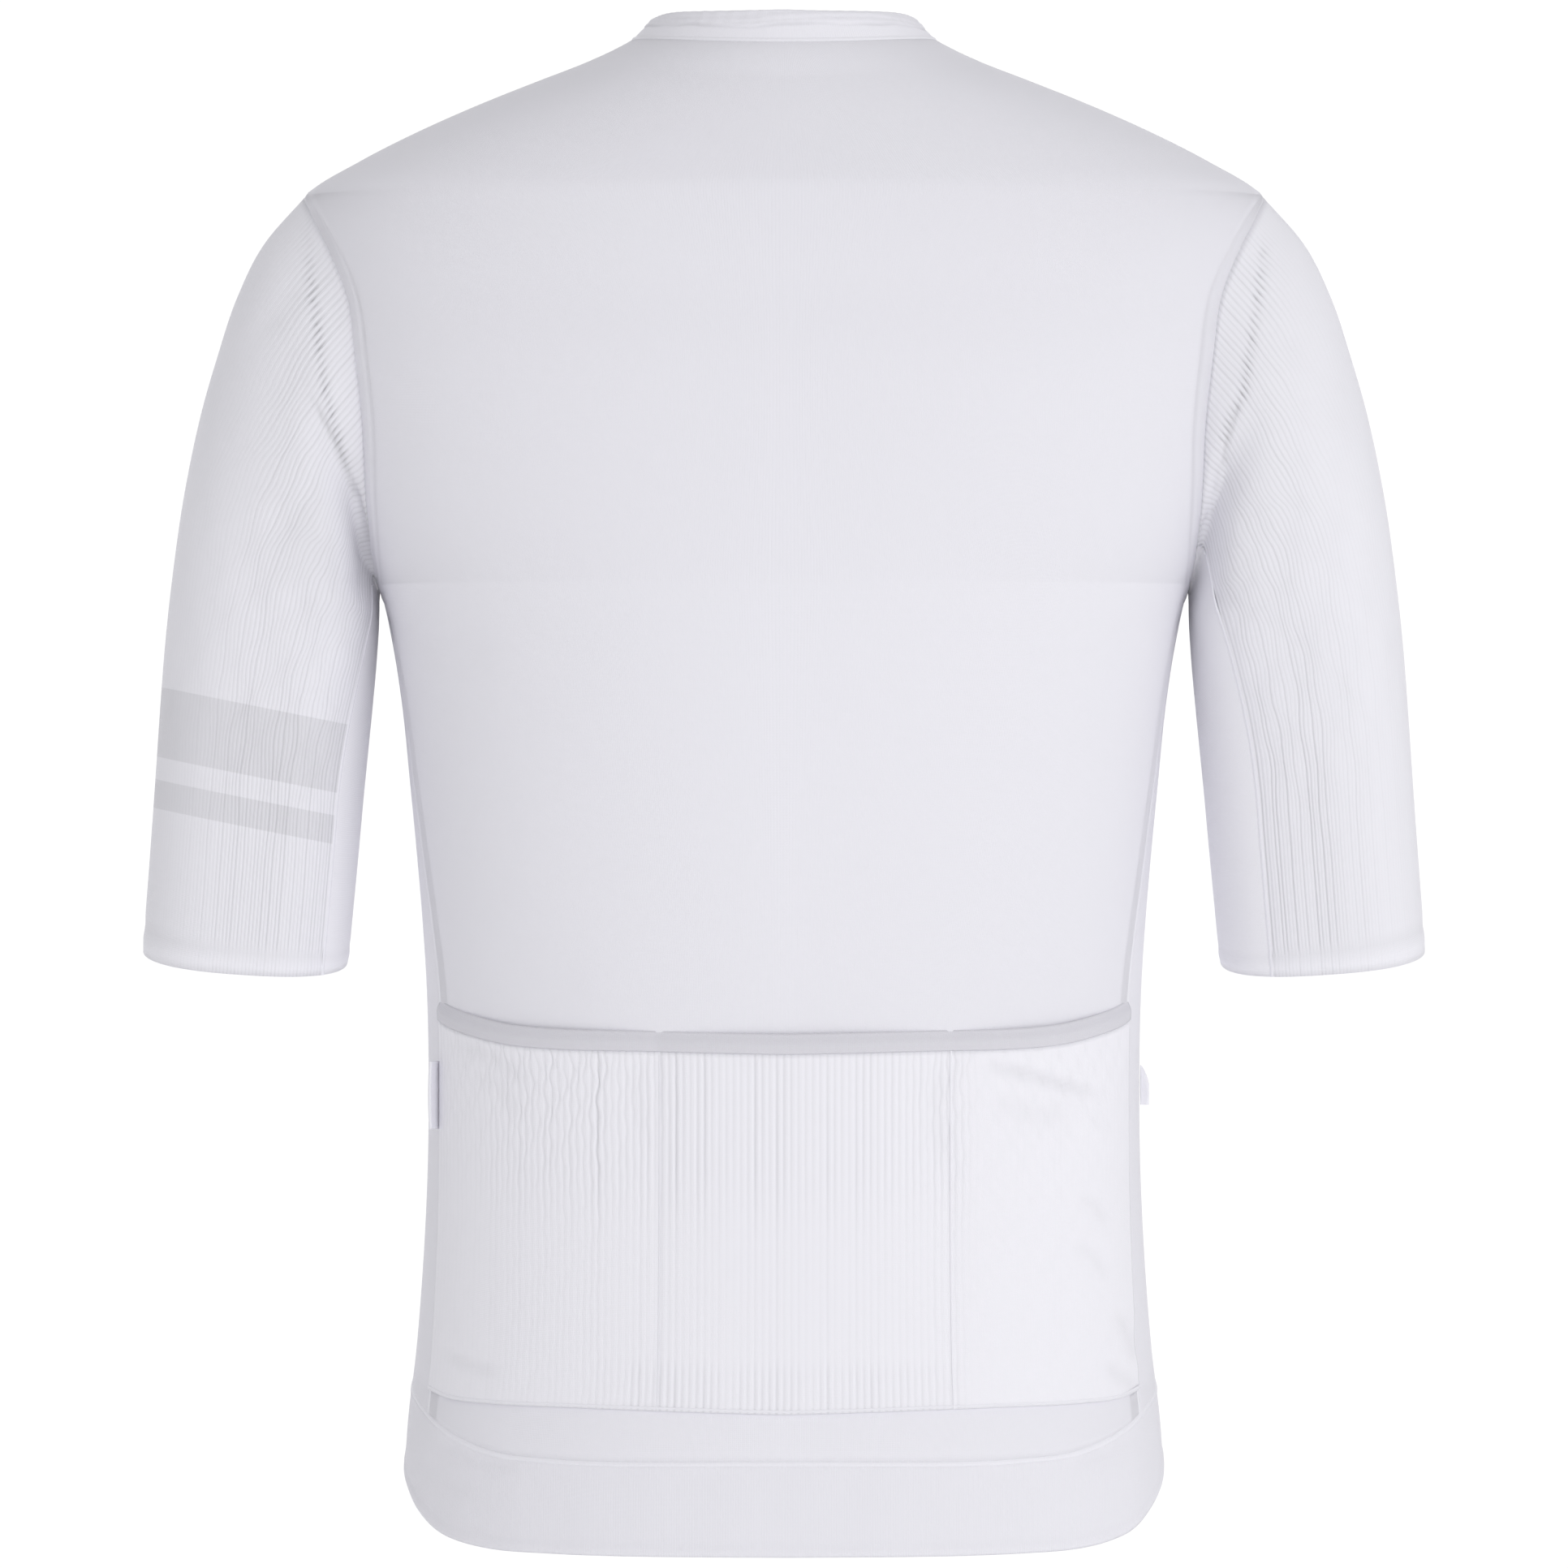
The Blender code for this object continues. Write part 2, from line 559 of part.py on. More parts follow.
def fold_depth(point, path, depth, width):
    """Depth of a soft trough at a point, seen from behind; it grows along its path."""
    nearest, along, travelled = 1e9, 0.0, 0.0
    spot = Vector((point.x, point.z))
    total = sum((Vector(b) - Vector(a)).length for a, b in zip(path, path[1:]))
    for a, b in zip(path, path[1:]):
        start, run = Vector(a), Vector(b) - Vector(a)
        t = min(max((spot - start).dot(run) / run.length_squared, 0), 1)
        away = (spot - start - run * t).length
        if away < nearest:
            nearest, along = away, (travelled + run.length * t) / total
        travelled += run.length
    return depth * ease(along * 1.6) * math.exp(-(nearest / width) ** 2)


def sleeve_point(share, turn):
    """A point of the left sleeve; turn 0 is its top edge, 90 degrees its back."""
    middle, point = section_point(share, turn)
    start = armhole_point(turn) + Vector((SLEEVE_STANDOFF, 0, 0))
    keep = 1 - ease(share / SLEEVE_BLEND)
    point += (start - section_point(0, turn)[1]) * keep
    path, depth, width = SLEEVE_FOLDS["back" if math.sin(turn) > 0 else "front"]
    depth *= min(1.0, abs(math.sin(turn)) * 3) * ease(share / 0.05)
    return point - (point - middle).normalized() * fold_depth(point, path, depth, width)


def sleeve_normal(share, turn):
    step = 0.004
    low, high = max(share - step, 0), min(share + step, 1)
    down = sleeve_point(high, turn) - sleeve_point(low, turn)
    around = sleeve_point(share, turn + 0.02) - sleeve_point(share, turn - 0.02)
    return down.cross(around).normalized()


def sleeve_piece(name, side, start_turns, end_turns, cells, ribs, colour):
    """A piece of a sleeve between two seams; each seam's angle runs from armhole to cuff."""
    def turn_at(share, part):
        eased = ease(share * 1.3)
        return math.radians(mix(mix(*start_turns, eased), mix(*end_turns, eased), part))
    pieces = 2 * max(1, round(ribs / cells)) if ribs else 1
    parts = [k / (cells * pieces) for k in range(cells * pieces + 1)]
    mirror = Vector((side, 1, 1))
    outer, inner = [], []
    for number, share in enumerate(SLEEVE_ROWS):
        rise = RIB_RISE if ribs and 0 < number < len(SLEEVE_ROWS) - 1 else 0
        spots = [(share, turn_at(share, part)) for part in parts]
        outer.append([(sleeve_point(*spot) + sleeve_normal(*spot) * rise * (k % 2)) * mirror
                      for k, spot in enumerate(spots)])
        inner.append([(sleeve_point(*spot) - sleeve_normal(*spot) * CLOTH) * mirror
                      for spot in spots[::pieces]])
    edges = ("start", "end")
    marks = list(range(0, len(parts), pieces))
    wall(name, pulled_back(outer, edges), pulled_back(inner, edges), colour, marks)


def sleeves():
    for label, side in (("left", 1), ("right", -1)):
        back_seam, front_seam = UNDER_SEAMS[label]
        ribbed_start = tuple(angle - 360 for angle in front_seam)
        sleeve_piece("sleeve_" + label, side, ribbed_start, back_seam, 21, SLEEVE_RIBS, "rib")
        sleeve_piece("sleeve_under_" + label, side, back_seam, front_seam, 6, 0, "cloth")


# ---------------------------------------------------------------- collar
# share round the neck from the middle of the back (0) to the zip (1): height, lean inward
COLLAR_TABLE = ((0.0, 0.0150, 26), (0.25, 0.0143, 34), (0.5, 0.0128, 44), (0.75, 0.0165, 28),
                (1.0, FRONT_COLLAR_HEIGHT, 12))
COLLAR_HEIGHT, COLLAR_LEAN = columns(COLLAR_TABLE)


def collar_spots():
    """Side, angle, height and share round the neck of each column, zip to zip."""
    half = [(1, neck_spot(share, False), 0.5 + share / 2) for share in FRONT_SHARES]
    half = half[::-1][:-1]
    half += [(1, neck_spot(share, True), 0.5 - share / 2) for share in BACK_SHARES[1]]
    other = [(-1, neck_spot(share, False), 0.5 + share / 2) for share in FRONT_SHARES][::-1][:-1]
    other += [(-1, neck_spot(share, True), 0.5 - share / 2) for share in BACK_SHARES[-1][:-1]]
    return half + other[::-1]


def collar_frame(side, spot, share):
    """Foot of the collar, the way up its cloth and the way out of it."""
    angle, z = spot
    if share == 1:
        angle = centre_angle(z, False)
    foot = body_point(side, angle, z)
    hub = Vector((0, NECK_CENTRE_Y, foot.z))
    inward = (hub - foot).normalized()
    if share > 0.85:
        inward = inward.lerp(Vector((0, 1, 0)), ease((share - 0.85) / 0.1)).normalized()
    lean = math.radians(COLLAR_LEAN(share))
    up = Vector((0, 0, 1)) * math.cos(lean) + inward * math.sin(lean)
    out = Vector((0, 0, 1)) * math.sin(lean) - inward * math.cos(lean)
    return foot, up, out


def collar():
    steps = (0, .12, .5, .88, 1)
    swell = (0, .0003, .0004, .0003, -.0002)
    outer, inner = [], []
    for step, rise in zip(reversed(steps), reversed(swell)):
        far, near = [], []
        for side, spot, share in collar_spots():
            foot, up, out = collar_frame(side, spot, share)
            point = foot + up * COLLAR_HEIGHT(share) * step
            far.append(point + out * rise)
            near.append(point - out * (COLLAR_CLOTH + (rise if rise < 0 else 0)))
        outer.append(far)
        inner.append(near)
    edges = ("foot", "start", "end")
    wall("collar", pulled_back(outer, edges), pulled_back(inner, edges), "band")


# ---------------------------------------------------------------- side tabs
TAB_EDGE = 0.00035        # its edges are rounded off by this much


def side_tab(name, side, top_z, length, reach, splay, from_seam, root, drop):
    """A short folded strip that stands out from the side panel.

    splay turns it from straight back towards the side. from_seam is measured round the body
    from the side seam, towards the front. Its root stands off the panel by root, and drop
    cuts its upper outer corner on a slant.
    """
    middle_z = top_z - length / 2
    angle = math.radians(BACK_SEAM(middle_z)) - from_seam / HALF_WIDTH(middle_z)
    foot = body_point(side, angle, middle_z)
    lifted = body_normal(side, angle, middle_z) * root
    out = Vector((side * math.sin(math.radians(splay)), math.cos(math.radians(splay)), 0))
    along = out.cross(Vector((0, 0, 1)))
    builder = bmesh.new()
    bmesh.ops.create_cube(builder, size=1)
    place = Matrix((along, out, Vector((0, 0, 1)))).transposed().to_4x4()
    place.translation = foot + lifted + out * reach / 2
    for vert in builder.verts:
        if vert.co.y > 0 and vert.co.z > 0:
            vert.co.z -= drop / length
    size = Matrix.Diagonal((TAB_CLOTH, reach, length, 1))
    bmesh.ops.transform(builder, matrix=place @ size, verts=builder.verts)
    bmesh.ops.bevel(builder, geom=builder.edges[:], offset=TAB_EDGE, segments=1, profile=0.5,
                    affect="EDGES", material=-1)
    finish(name, builder, "tab")


# ---------------------------------------------------------------- zip
def zip_path():
    """Points up the middle of the front, from the hem to the top of the collar, with normals."""
    degrees = -90
    heights = [LINE["hem"](degrees), mix(LINE["hem"](degrees), LINE["band_seam"](degrees), 0.5)]
    heights += [line_z(row, -QUARTER) for row in reversed(LOWER_ROWS[1:])]
    heights += [upper_spot(row, 1, False)[1] for row in reversed(range(UPPER_ROWS))]
    path = [(body_point(1, -QUARTER, z), body_normal(1, -QUARTER, z)) for z in heights]
    foot, up, out = collar_frame(1, neck_spot(1, False), 1.0)
    foot = Vector((0, path[-1][0].y, foot.z))
    path += [(foot + up * FRONT_COLLAR_HEIGHT * step, Vector((0, out.y, out.z)).normalized())
             for step in (.5, 1)]
    return path


def zip_tape():
    """Both tapes and the closed chain of the zip, as one strip with a raised middle."""
    edge = ZIP_HALF_WIDTH - SEAM_PULL
    foot = CHAIN_HALF_WIDTH + CHAIN_SLOPE
    profile = ((-edge, 0), (-foot, 0), (-CHAIN_HALF_WIDTH, CHAIN_RISE),
               (CHAIN_HALF_WIDTH, CHAIN_RISE), (foot, 0), (edge, 0))
    outer = [[point + Vector((x, 0, 0)) + normal * rise for x, rise in profile]
             for point, normal in zip_path()]
    inner = [[point + Vector((x, 0, 0)) - normal * CLOTH for x, _ in profile]
             for point, normal in zip_path()]
    wall("zip_tape", outer, inner, "zip")


SLIDER_LENGTH, SLIDER_WIDTH = 0.0100, 0.0088
SLIDER_OFF_CHAIN = 0.0003  # from the chain to the slider's plate
SLIDER_BELOW_TOP = 0.0085  # middle of the slider, measured down the collar from its top
PLATE = 0.0014            # thickness of the slider's plate
BRIDGE_GAP = 0.0017       # room under the bridge for the pull's bar
BRIDGE = 0.0010           # thickness of the bridge
BRIDGE_WIDTH, BRIDGE_INSET = 0.0018, 0.0010   # inset from each end of the plate
BRIDGE_LEG = 0.0012       # length of each leg along the zip
BRIDGE_CORNER = 0.0005
SUNK = 0.00005            # the bridge's legs sink this far into the plate
PLATE_EDGE = 0.0004
PULL_BAR = 0.0010
PULL_SIZE = (0.0058, 0.0195, 0.0010)   # width, length, thickness
PULL_ABOVE = 0.0012       # its axis lies this far above the slider's middle
PULL_CORNER, PULL_CORNER_STEPS = 0.0016, 3
WINDOW = (0.0034, 0.0064)


def slider_frame():
    """Place of the slider: z up the zip, y towards the wearer, x across."""
    path = zip_path()
    top, normal = path[-1]
    up = (path[-1][0] - path[-3][0]).normalized()
    place = Matrix((Vector((1, 0, 0)), -normal, up)).transposed().to_4x4()
    place.translation = top - up * SLIDER_BELOW_TOP + normal * (CHAIN_RISE + SLIDER_OFF_CHAIN)
    return place


def slab(builder, low, high):
    """A box between two corners."""
    low, high = Vector(low), Vector(high)
    box = bmesh.ops.create_cube(builder, size=1)
    size = Matrix.Diagonal((high - low).to_4d())
    size[3][3] = 1
    bmesh.ops.transform(builder, matrix=Matrix.Translation((low + high) / 2) @ size,
                        verts=box["verts"])
    return box["verts"]


def extruded(builder, outline, low, high):
    """A flat outline of (y, z) points drawn out along x."""
    face = builder.faces.new([builder.verts.new((low, y, z)) for y, z in outline])
    grown = bmesh.ops.extrude_face_region(builder, geom=[face])
    moved = [item for item in grown["geom"] if isinstance(item, bmesh.types.BMVert)]
    bmesh.ops.translate(builder, verts=moved, vec=(high - low, 0, 0))


def slider():
    """The zip's slider: a plate in front of the chain, with a bridge for the pull."""
    half = SLIDER_LENGTH / 2
    front, under, over = -PLATE, -PLATE - BRIDGE_GAP, -PLATE - BRIDGE_GAP - BRIDGE
    long, short = half - BRIDGE_INSET, half - BRIDGE_INSET - BRIDGE_LEG
    shoulder, end = over + BRIDGE_CORNER, long - BRIDGE_CORNER
    outline = ((front, long), (shoulder, long), (over, end), (over, -end), (shoulder, -long),
               (front, -long), (front, -short), (under, -short), (under, short), (front, short))
    arch = bmesh.new()
    extruded(arch, outline, -BRIDGE_WIDTH / 2, BRIDGE_WIDTH / 2)
    bridge = finish("zip_bridge_guide", arch, "metal", 0.35, 1.0)
    plate = bmesh.new()
    slab(plate, (-SLIDER_WIDTH / 2, -PLATE - SUNK, -half), (SLIDER_WIDTH / 2, 0, half))
    bmesh.ops.bevel(plate, geom=plate.edges[:], offset=PLATE_EDGE, segments=1, profile=0.5,
                    affect="EDGES", material=-1)
    body = finish("zip_slider", plate, "metal", 0.35, 1.0)
    body.matrix_world = bridge.matrix_world = slider_frame()
    join = body.modifiers.new("bridge", "BOOLEAN")
    join.operation = "UNION"
    join.object = bridge
    bridge.hide_render = True
    bridge.display_type = "WIRE"


def pull():
    """The pull tab, hung on its bar under the slider's bridge; its origin is on its axis."""
    width, length, thickness = PULL_SIZE
    half = thickness / 2
    top = PULL_BAR / 2
    builder = bmesh.new()
    slab(builder, (-width / 2, -half, -length), (width / 2, half, top))
    bmesh.ops.bevel(builder, geom=[edge for edge in builder.edges
                                   if abs((edge.verts[0].co - edge.verts[1].co).y) > half],
                    offset=PULL_CORNER, segments=PULL_CORNER_STEPS, profile=0.5,
                    affect="EDGES", material=-1)
    tab = finish("zip_pull", builder, "metal", 0.35, 1.0)
    hole = bmesh.new()
    slab(hole, (-WINDOW[0] / 2, -thickness, -top - WINDOW[1]), (WINDOW[0] / 2, thickness, -top))
    window = finish("zip_pull_window", hole, "metal")
    axis = Matrix.Translation((0, -PLATE - BRIDGE_GAP / 2, PULL_ABOVE))
    tab.matrix_world = window.matrix_world = slider_frame() @ axis
    cut = tab.modifiers.new("window", "BOOLEAN")
    cut.operation = "DIFFERENCE"
    cut.object = window
    window.hide_render = True
    window.display_type = "WIRE"


# ---------------------------------------------------------------- the whole garment
back_panel()
front_panel("front_left", 1)
front_panel("front_right", -1)
side_panel("side_left", 1)
side_panel("side_right", -1)
hem_band()
pocket_pieces()
sleeves()
collar()
side_tab("tab_left", 1, -0.4430, 0.0293, 0.0070, 25, 0.0028, 0.0012, 0.0)
side_tab("tab_right", -1, -0.4455, 0.0173, 0.0034, 90, 0.0450, 0.0004, 0.0080)
zip_tape()
slider()
pull()
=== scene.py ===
# %% [markdown]
# # A cycling jersey, filled out as worn
# A race jersey is cut close from light stretch knit: plain cloth for the body, a ribbed knit
# for the sleeves and the pocket, a broad elastic band at the hem and a zip down the front.
# The solids already hold its true shape, so this lesson dresses them: each piece of cloth is a
# grid laid on the same surface, given its ribs, folds and seams, and then a thickness.

# %% Load the frame
import math

import bmesh
import bpy
import numpy as np
from mathutils import Matrix, Vector


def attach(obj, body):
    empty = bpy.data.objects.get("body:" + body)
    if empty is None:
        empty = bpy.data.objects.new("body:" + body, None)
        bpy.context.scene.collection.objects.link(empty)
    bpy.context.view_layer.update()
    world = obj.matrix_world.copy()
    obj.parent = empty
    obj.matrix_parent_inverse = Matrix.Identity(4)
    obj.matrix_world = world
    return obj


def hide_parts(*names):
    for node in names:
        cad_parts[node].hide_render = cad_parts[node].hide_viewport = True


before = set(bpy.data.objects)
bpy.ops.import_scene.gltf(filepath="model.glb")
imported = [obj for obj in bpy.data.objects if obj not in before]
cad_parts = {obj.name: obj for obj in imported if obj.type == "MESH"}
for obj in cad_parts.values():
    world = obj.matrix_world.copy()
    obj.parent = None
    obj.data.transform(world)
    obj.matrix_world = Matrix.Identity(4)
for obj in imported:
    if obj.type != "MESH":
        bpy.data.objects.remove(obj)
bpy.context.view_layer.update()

# %% [markdown]
# ## Curves through a few stations
# A pattern cutter keeps a garment as measures at a few heights. A smooth curve through them
# gives the measure anywhere between. Working on whole arrays of numbers at once keeps it
# quick, as a sleeve has tens of thousands of corners.

# %% Smooth curves
QUARTER = math.pi / 2


def smooth_curve(stations, values):
    """A smooth curve through the stations, as a function of one number or many."""
    order = np.argsort(stations)
    at = np.array(stations, float)[order]
    value = np.array(values, float)[order]
    slope = np.gradient(value, at)

    def curve(where):
        where = np.clip(where, at[0], at[-1])
        cell = np.clip(np.searchsorted(at, where, side="right") - 1, 0, len(at) - 2)
        span = at[cell + 1] - at[cell]
        t = (where - at[cell]) / span
        rise_in, rise_out = slope[cell] * span, slope[cell + 1] * span
        return (value[cell] * (1 + 2 * t) * (1 - t) ** 2 + rise_in * t * (1 - t) ** 2
                + value[cell + 1] * t * t * (3 - 2 * t) + rise_out * t * t * (t - 1))
    return curve


def columns(table):
    """One smooth curve for each column after the first."""
    by_column = list(zip(*table))
    return [smooth_curve(by_column[0], column) for column in by_column[1:]]


print("a curve through 0, 1 and 0, a quarter of the way:",
      float(smooth_curve((0, 1, 2), (0, 1, 0))(0.5)))

# %% [markdown]
# Folds, ribs and raised seams all begin and end softly, as cloth never bends at a sharp step.
# Three small functions do that everywhere below, so that no piece needs its own.

# %% Soft steps and bumps
def ease(t):
    """0 below 0, 1 above 1, and a soft slope between."""
    t = np.clip(t, 0.0, 1.0)
    return t * t * (3 - 2 * t)


def mix(a, b, t):
    return a + (b - a) * t


def bump_at(distance, width):
    """1 at distance 0, falling softly to 0 a width or two away."""
    return np.exp(-(distance / width) ** 2)


def travelled(points):
    """How far along a line of points each one lies."""
    return np.concatenate([[0], np.cumsum(np.linalg.norm(np.diff(points, axis=0), axis=1))])


print("a soft step at a quarter:", float(ease(0.25)), "and a bump one width away:",
      round(float(bump_at(1.0, 1.0)), 3))

# %% [markdown]
# ## The body as rings
# The torso is a stack of rounded rings. Each has a half width, a depth behind and in front of
# the side line, and a squareness: 2 is an ellipse, more is boxier. The tables are the pattern.

# %% The body's measures, in metres
SHOULDER_TIP_Z, UNDERARM_Z = -0.068, -0.240
ARMHOLE_DEPTH = (0.058, 0.062)
NECK_HALF_WIDTH, NECK_DROP, BACK_NECK_DIP = 0.066, 0.070, 0.0038
NECK_SCOOP, NECK_ROUND = 1.6, 0.9        # shape of the front neck: how it drops and narrows
TAPE_WIDTH = 0.0088
ZIP_HALF_WIDTH = 0.0062

BODY_RINGS = (  # height, half width, depth behind, depth in front, squareness
    (0.012, 0.060, 0.056, 0.036, 2.00), (0.000, 0.066, 0.060, 0.040, 2.00),
    (-0.0036, 0.0725, 0.0625, 0.042, 2.00), (-0.0106, 0.0878, 0.0670, 0.045, 2.02),
    (-0.0177, 0.1062, 0.0715, 0.048, 2.03), (-0.0282, 0.1325, 0.0780, 0.052, 2.05),
    (-0.0410, 0.1612, 0.0850, 0.057, 2.10), (-0.0530, 0.1846, 0.0912, 0.061, 2.15),
    (-0.0680, 0.2075, 0.0980, 0.066, 2.20), (-0.076, 0.2085, 0.1008, 0.070, 2.22),
    (-0.092, 0.2070, 0.1056, 0.0785, 2.26), (-0.112, 0.2038, 0.1100, 0.0855, 2.30),
    (-0.139, 0.2018, 0.116, 0.097, 2.32), (-0.1715, 0.1962, 0.119, 0.106, 2.34),
    (-0.200, 0.1897, 0.1200, 0.111, 2.35), (-0.222, 0.1822, 0.1200, 0.113, 2.35),
    (-0.240, 0.1752, 0.1195, 0.114, 2.35), (-0.263, 0.1700, 0.1180, 0.114, 2.35),
    (-0.2866, 0.1663, 0.1160, 0.113, 2.34), (-0.3233, 0.1625, 0.1120, 0.111, 2.33),
    (-0.3558, 0.1594, 0.1080, 0.109, 2.32), (-0.3819, 0.1572, 0.1050, 0.107, 2.31),
    (-0.410, 0.1554, 0.1020, 0.105, 2.30), (-0.450, 0.1545, 0.1005, 0.104, 2.30),
    (-0.493, 0.1550, 0.1010, 0.1035, 2.30), (-0.541, 0.1575, 0.1050, 0.104, 2.30),
    (-0.569, 0.1598, 0.1078, 0.105, 2.30), (-0.602, 0.1637, 0.1108, 0.106, 2.30),
    (-0.6177, 0.1648, 0.1115, 0.1065, 2.30), (-0.662, 0.1652, 0.1118, 0.1065, 2.30),
)
LEVEL_LINES = {  # degrees round from the side line, height
    "pocket_mouth": ((-90, -0.404), (-30, -0.405), (0, -0.408), (12, -0.4125), (20, -0.4173),
                     (33, -0.4226), (45, -0.4265), (55, -0.4279), (70, -0.4286), (90, -0.4298)),
    "pocket_foot": ((-90, -0.540), (-45, -0.548), (-20, -0.559), (0, -0.571), (14, -0.5814),
                    (21, -0.5842), (29, -0.5873), (42, -0.5888), (60, -0.5894), (75, -0.5904),
                    (90, -0.5917)),
    "band_seam": ((-90, -0.553), (-45, -0.559), (-20, -0.570), (0, -0.584), (14, -0.5903),
                  (26, -0.5995), (36, -0.6063), (45, -0.6107), (55, -0.6125), (90, -0.6129)),
    "hem": ((-90, -0.592), (-60, -0.5935), (-40, -0.597), (-20, -0.604), (0, -0.6175),
            (9, -0.6267), (18, -0.6361), (27.6, -0.6448), (34.5, -0.6482), (43.8, -0.6509),
            (54.8, -0.6518), (90, -0.6525)),
}
SIDE_SEAMS = ((-0.237, 5.3, 4.6), (-0.300, 9.0, 10.0), (-0.360, 13.5, 16.0), (-0.410, 17.6, 20.0),
              (-0.4755, 18.3, 22.0), (-0.530, 19.5, 23.0), (-0.595, 21.1, 24.0), (-0.662, 22, 24.5))
HALF_WIDTH, BACK_DEPTH, FRONT_DEPTH, SQUARENESS = columns(BODY_RINGS)
LINE = {name: columns(table)[0] for name, table in LEVEL_LINES.items()}
BACK_SEAM, FRONT_SEAM = columns(SIDE_SEAMS)
print(len(BODY_RINGS), "rings from", BODY_RINGS[0][0], "down to", BODY_RINGS[-1][0])


# %% [markdown]
# ### A point of the body
# A ring squarer than an ellipse is a superellipse: the sine and cosine of the angle are raised
# to a power. With it, any spot of cloth is a side, an angle round and a height. Drawing the
# rings as meshes would do too, but a formula can be asked for a point anywhere.

# %% A point of the body
def body_point(side, angle, z):
    """A point of the body: angle 0 is the side line, +90 degrees the middle of the back."""
    side, angle, z = np.broadcast_arrays(side, np.asarray(angle, float), z)
    power = 2 / SQUARENESS(z)
    depth = np.where(angle >= 0, BACK_DEPTH(z), FRONT_DEPTH(z))
    across = np.sign(np.cos(angle)) * np.abs(np.cos(angle)) ** power
    along = np.sign(np.sin(angle)) * np.abs(np.sin(angle)) ** power
    return np.stack((side * HALF_WIDTH(z) * across, depth * along, z), axis=-1)


def angle_at_x(x, z, behind):
    ratio = np.minimum(np.abs(x) / HALF_WIDTH(z), 1.0)
    angle = np.arccos(ratio ** (SQUARENESS(z) / 2))
    return angle if behind else -angle


def angle_at_y(y, z):
    depth = np.where(y >= 0, BACK_DEPTH(z), FRONT_DEPTH(z))
    return np.sign(y) * np.arcsin(np.minimum(np.abs(y) / depth, 1.0) ** (SQUARENESS(z) / 2))


print("middle of the back at the waist:", body_point(1, QUARTER, -0.45).round(4))

# %% [markdown]
# ### Armhole and neck
# The armhole is an oval drawn on the side of the body from the shoulder tip to the underarm,
# and the neck seam drops further in front than behind. Both are lines on the same surface, so
# sleeves and collar start exactly where the panels end.

# %% Lines of the armhole and the neck
def armhole_spot(turn):
    """Angle and height on the body where the armhole passes; turn 0 is its top."""
    middle = (SHOULDER_TIP_Z + UNDERARM_Z) / 2
    z = middle + (SHOULDER_TIP_Z - middle) * np.cos(turn)
    reach = np.where(np.sin(turn) >= 0, *ARMHOLE_DEPTH)
    return angle_at_y(reach * np.sin(turn), z), z


def neck_spot(share, behind):
    """Angle and height of the neck seam, from the shoulder (share 0) to the middle (share 1)."""
    sine = np.sin(QUARTER * share)
    if behind:
        return QUARTER * share, -BACK_NECK_DIP * sine ** 2
    z = -NECK_DROP * sine ** NECK_SCOOP
    return angle_at_x(NECK_HALF_WIDTH * np.cos(QUARTER * share) ** NECK_ROUND, z, False), z


NECK_END = math.acos((ZIP_HALF_WIDTH / NECK_HALF_WIDTH) ** (1 / NECK_ROUND)) / QUARTER
print("the neck seam meets the zip at share", round(NECK_END, 3))

# %% [markdown]
# ## Panels between seams
# The back and each front are cut from the neck and shoulder down past the armhole to the
# side seam. Here `down` counts the pattern's rows: 0 at the neck, 4 at the shoulder tip, 15
# just above the underarm, and from there the height runs to the pocket and to the band.

# %% Rows above the underarm
SHOULDER_LINE = smooth_curve(range(5), (0.0, -0.0095, -0.024, -0.044, SHOULDER_TIP_Z))
TIP_ROW, LAST_ROW = 4, 15
ARMHOLE_STEPS = 12       # rows from the top of the armhole down to its bottom
LAST_TURN = math.pi * (LAST_ROW - TIP_ROW) / ARMHOLE_STEPS
SIDE_TOP_ANGLE, SIDE_TOP_Z = (float(value) for value in armhole_spot(LAST_TURN))
FRONT_TOP_ANGLE = -float(armhole_spot(-LAST_TURN)[0])


def upper_spot(down, share, behind):
    """Angle and height above the underarm, from the outer edge (0) to the middle (1)."""
    turn = np.clip(down - TIP_ROW, 0, None) * math.pi / ARMHOLE_STEPS
    arm_angle, arm_z = armhole_spot(turn if behind else -turn)
    on_shoulder = down < TIP_ROW
    edge_angle = np.where(on_shoulder, 0, np.abs(arm_angle))
    edge_z = np.where(on_shoulder, SHOULDER_LINE(np.minimum(down, TIP_ROW)), arm_z)
    lowered = down / LAST_ROW
    neck_angle, neck_z = neck_spot(share * (1 if behind else NECK_END), behind)
    middle_z = mix(-BACK_NECK_DIP if behind else -NECK_DROP, SIDE_TOP_Z, lowered)
    drop = share if behind else neck_z / -NECK_DROP
    z = mix(edge_z, middle_z, mix(drop, ease(share), lowered))
    z = mix(neck_z, z, np.clip(down, 0, 1))
    end = QUARTER if behind else -angle_at_x(ZIP_HALF_WIDTH, z, False)
    turned = mix(np.abs(neck_angle) / end, share, ease(lowered))
    angle = mix(edge_angle, end, turned)
    return (angle if behind else -angle), z


print("underarm corner", round(math.degrees(SIDE_TOP_ANGLE), 2), "degrees at", round(SIDE_TOP_Z, 4))

# %% [markdown]
# ### Zones below the underarm
# From the underarm down, the level lines part the body into zones: down to the pocket's mouth,
# its tape, the pocket, a strip under its foot, and the band. The side seams run through all
# of them, so each zone knows its start and end angle at any height.

# %% Zones below the underarm
SEAM_ROUNDS = 12         # rounds after which the side seam's angle has settled
SEAM_START, SIDE_START = 0.14, 0.1   # share of the top zone that leaves the armhole's shape


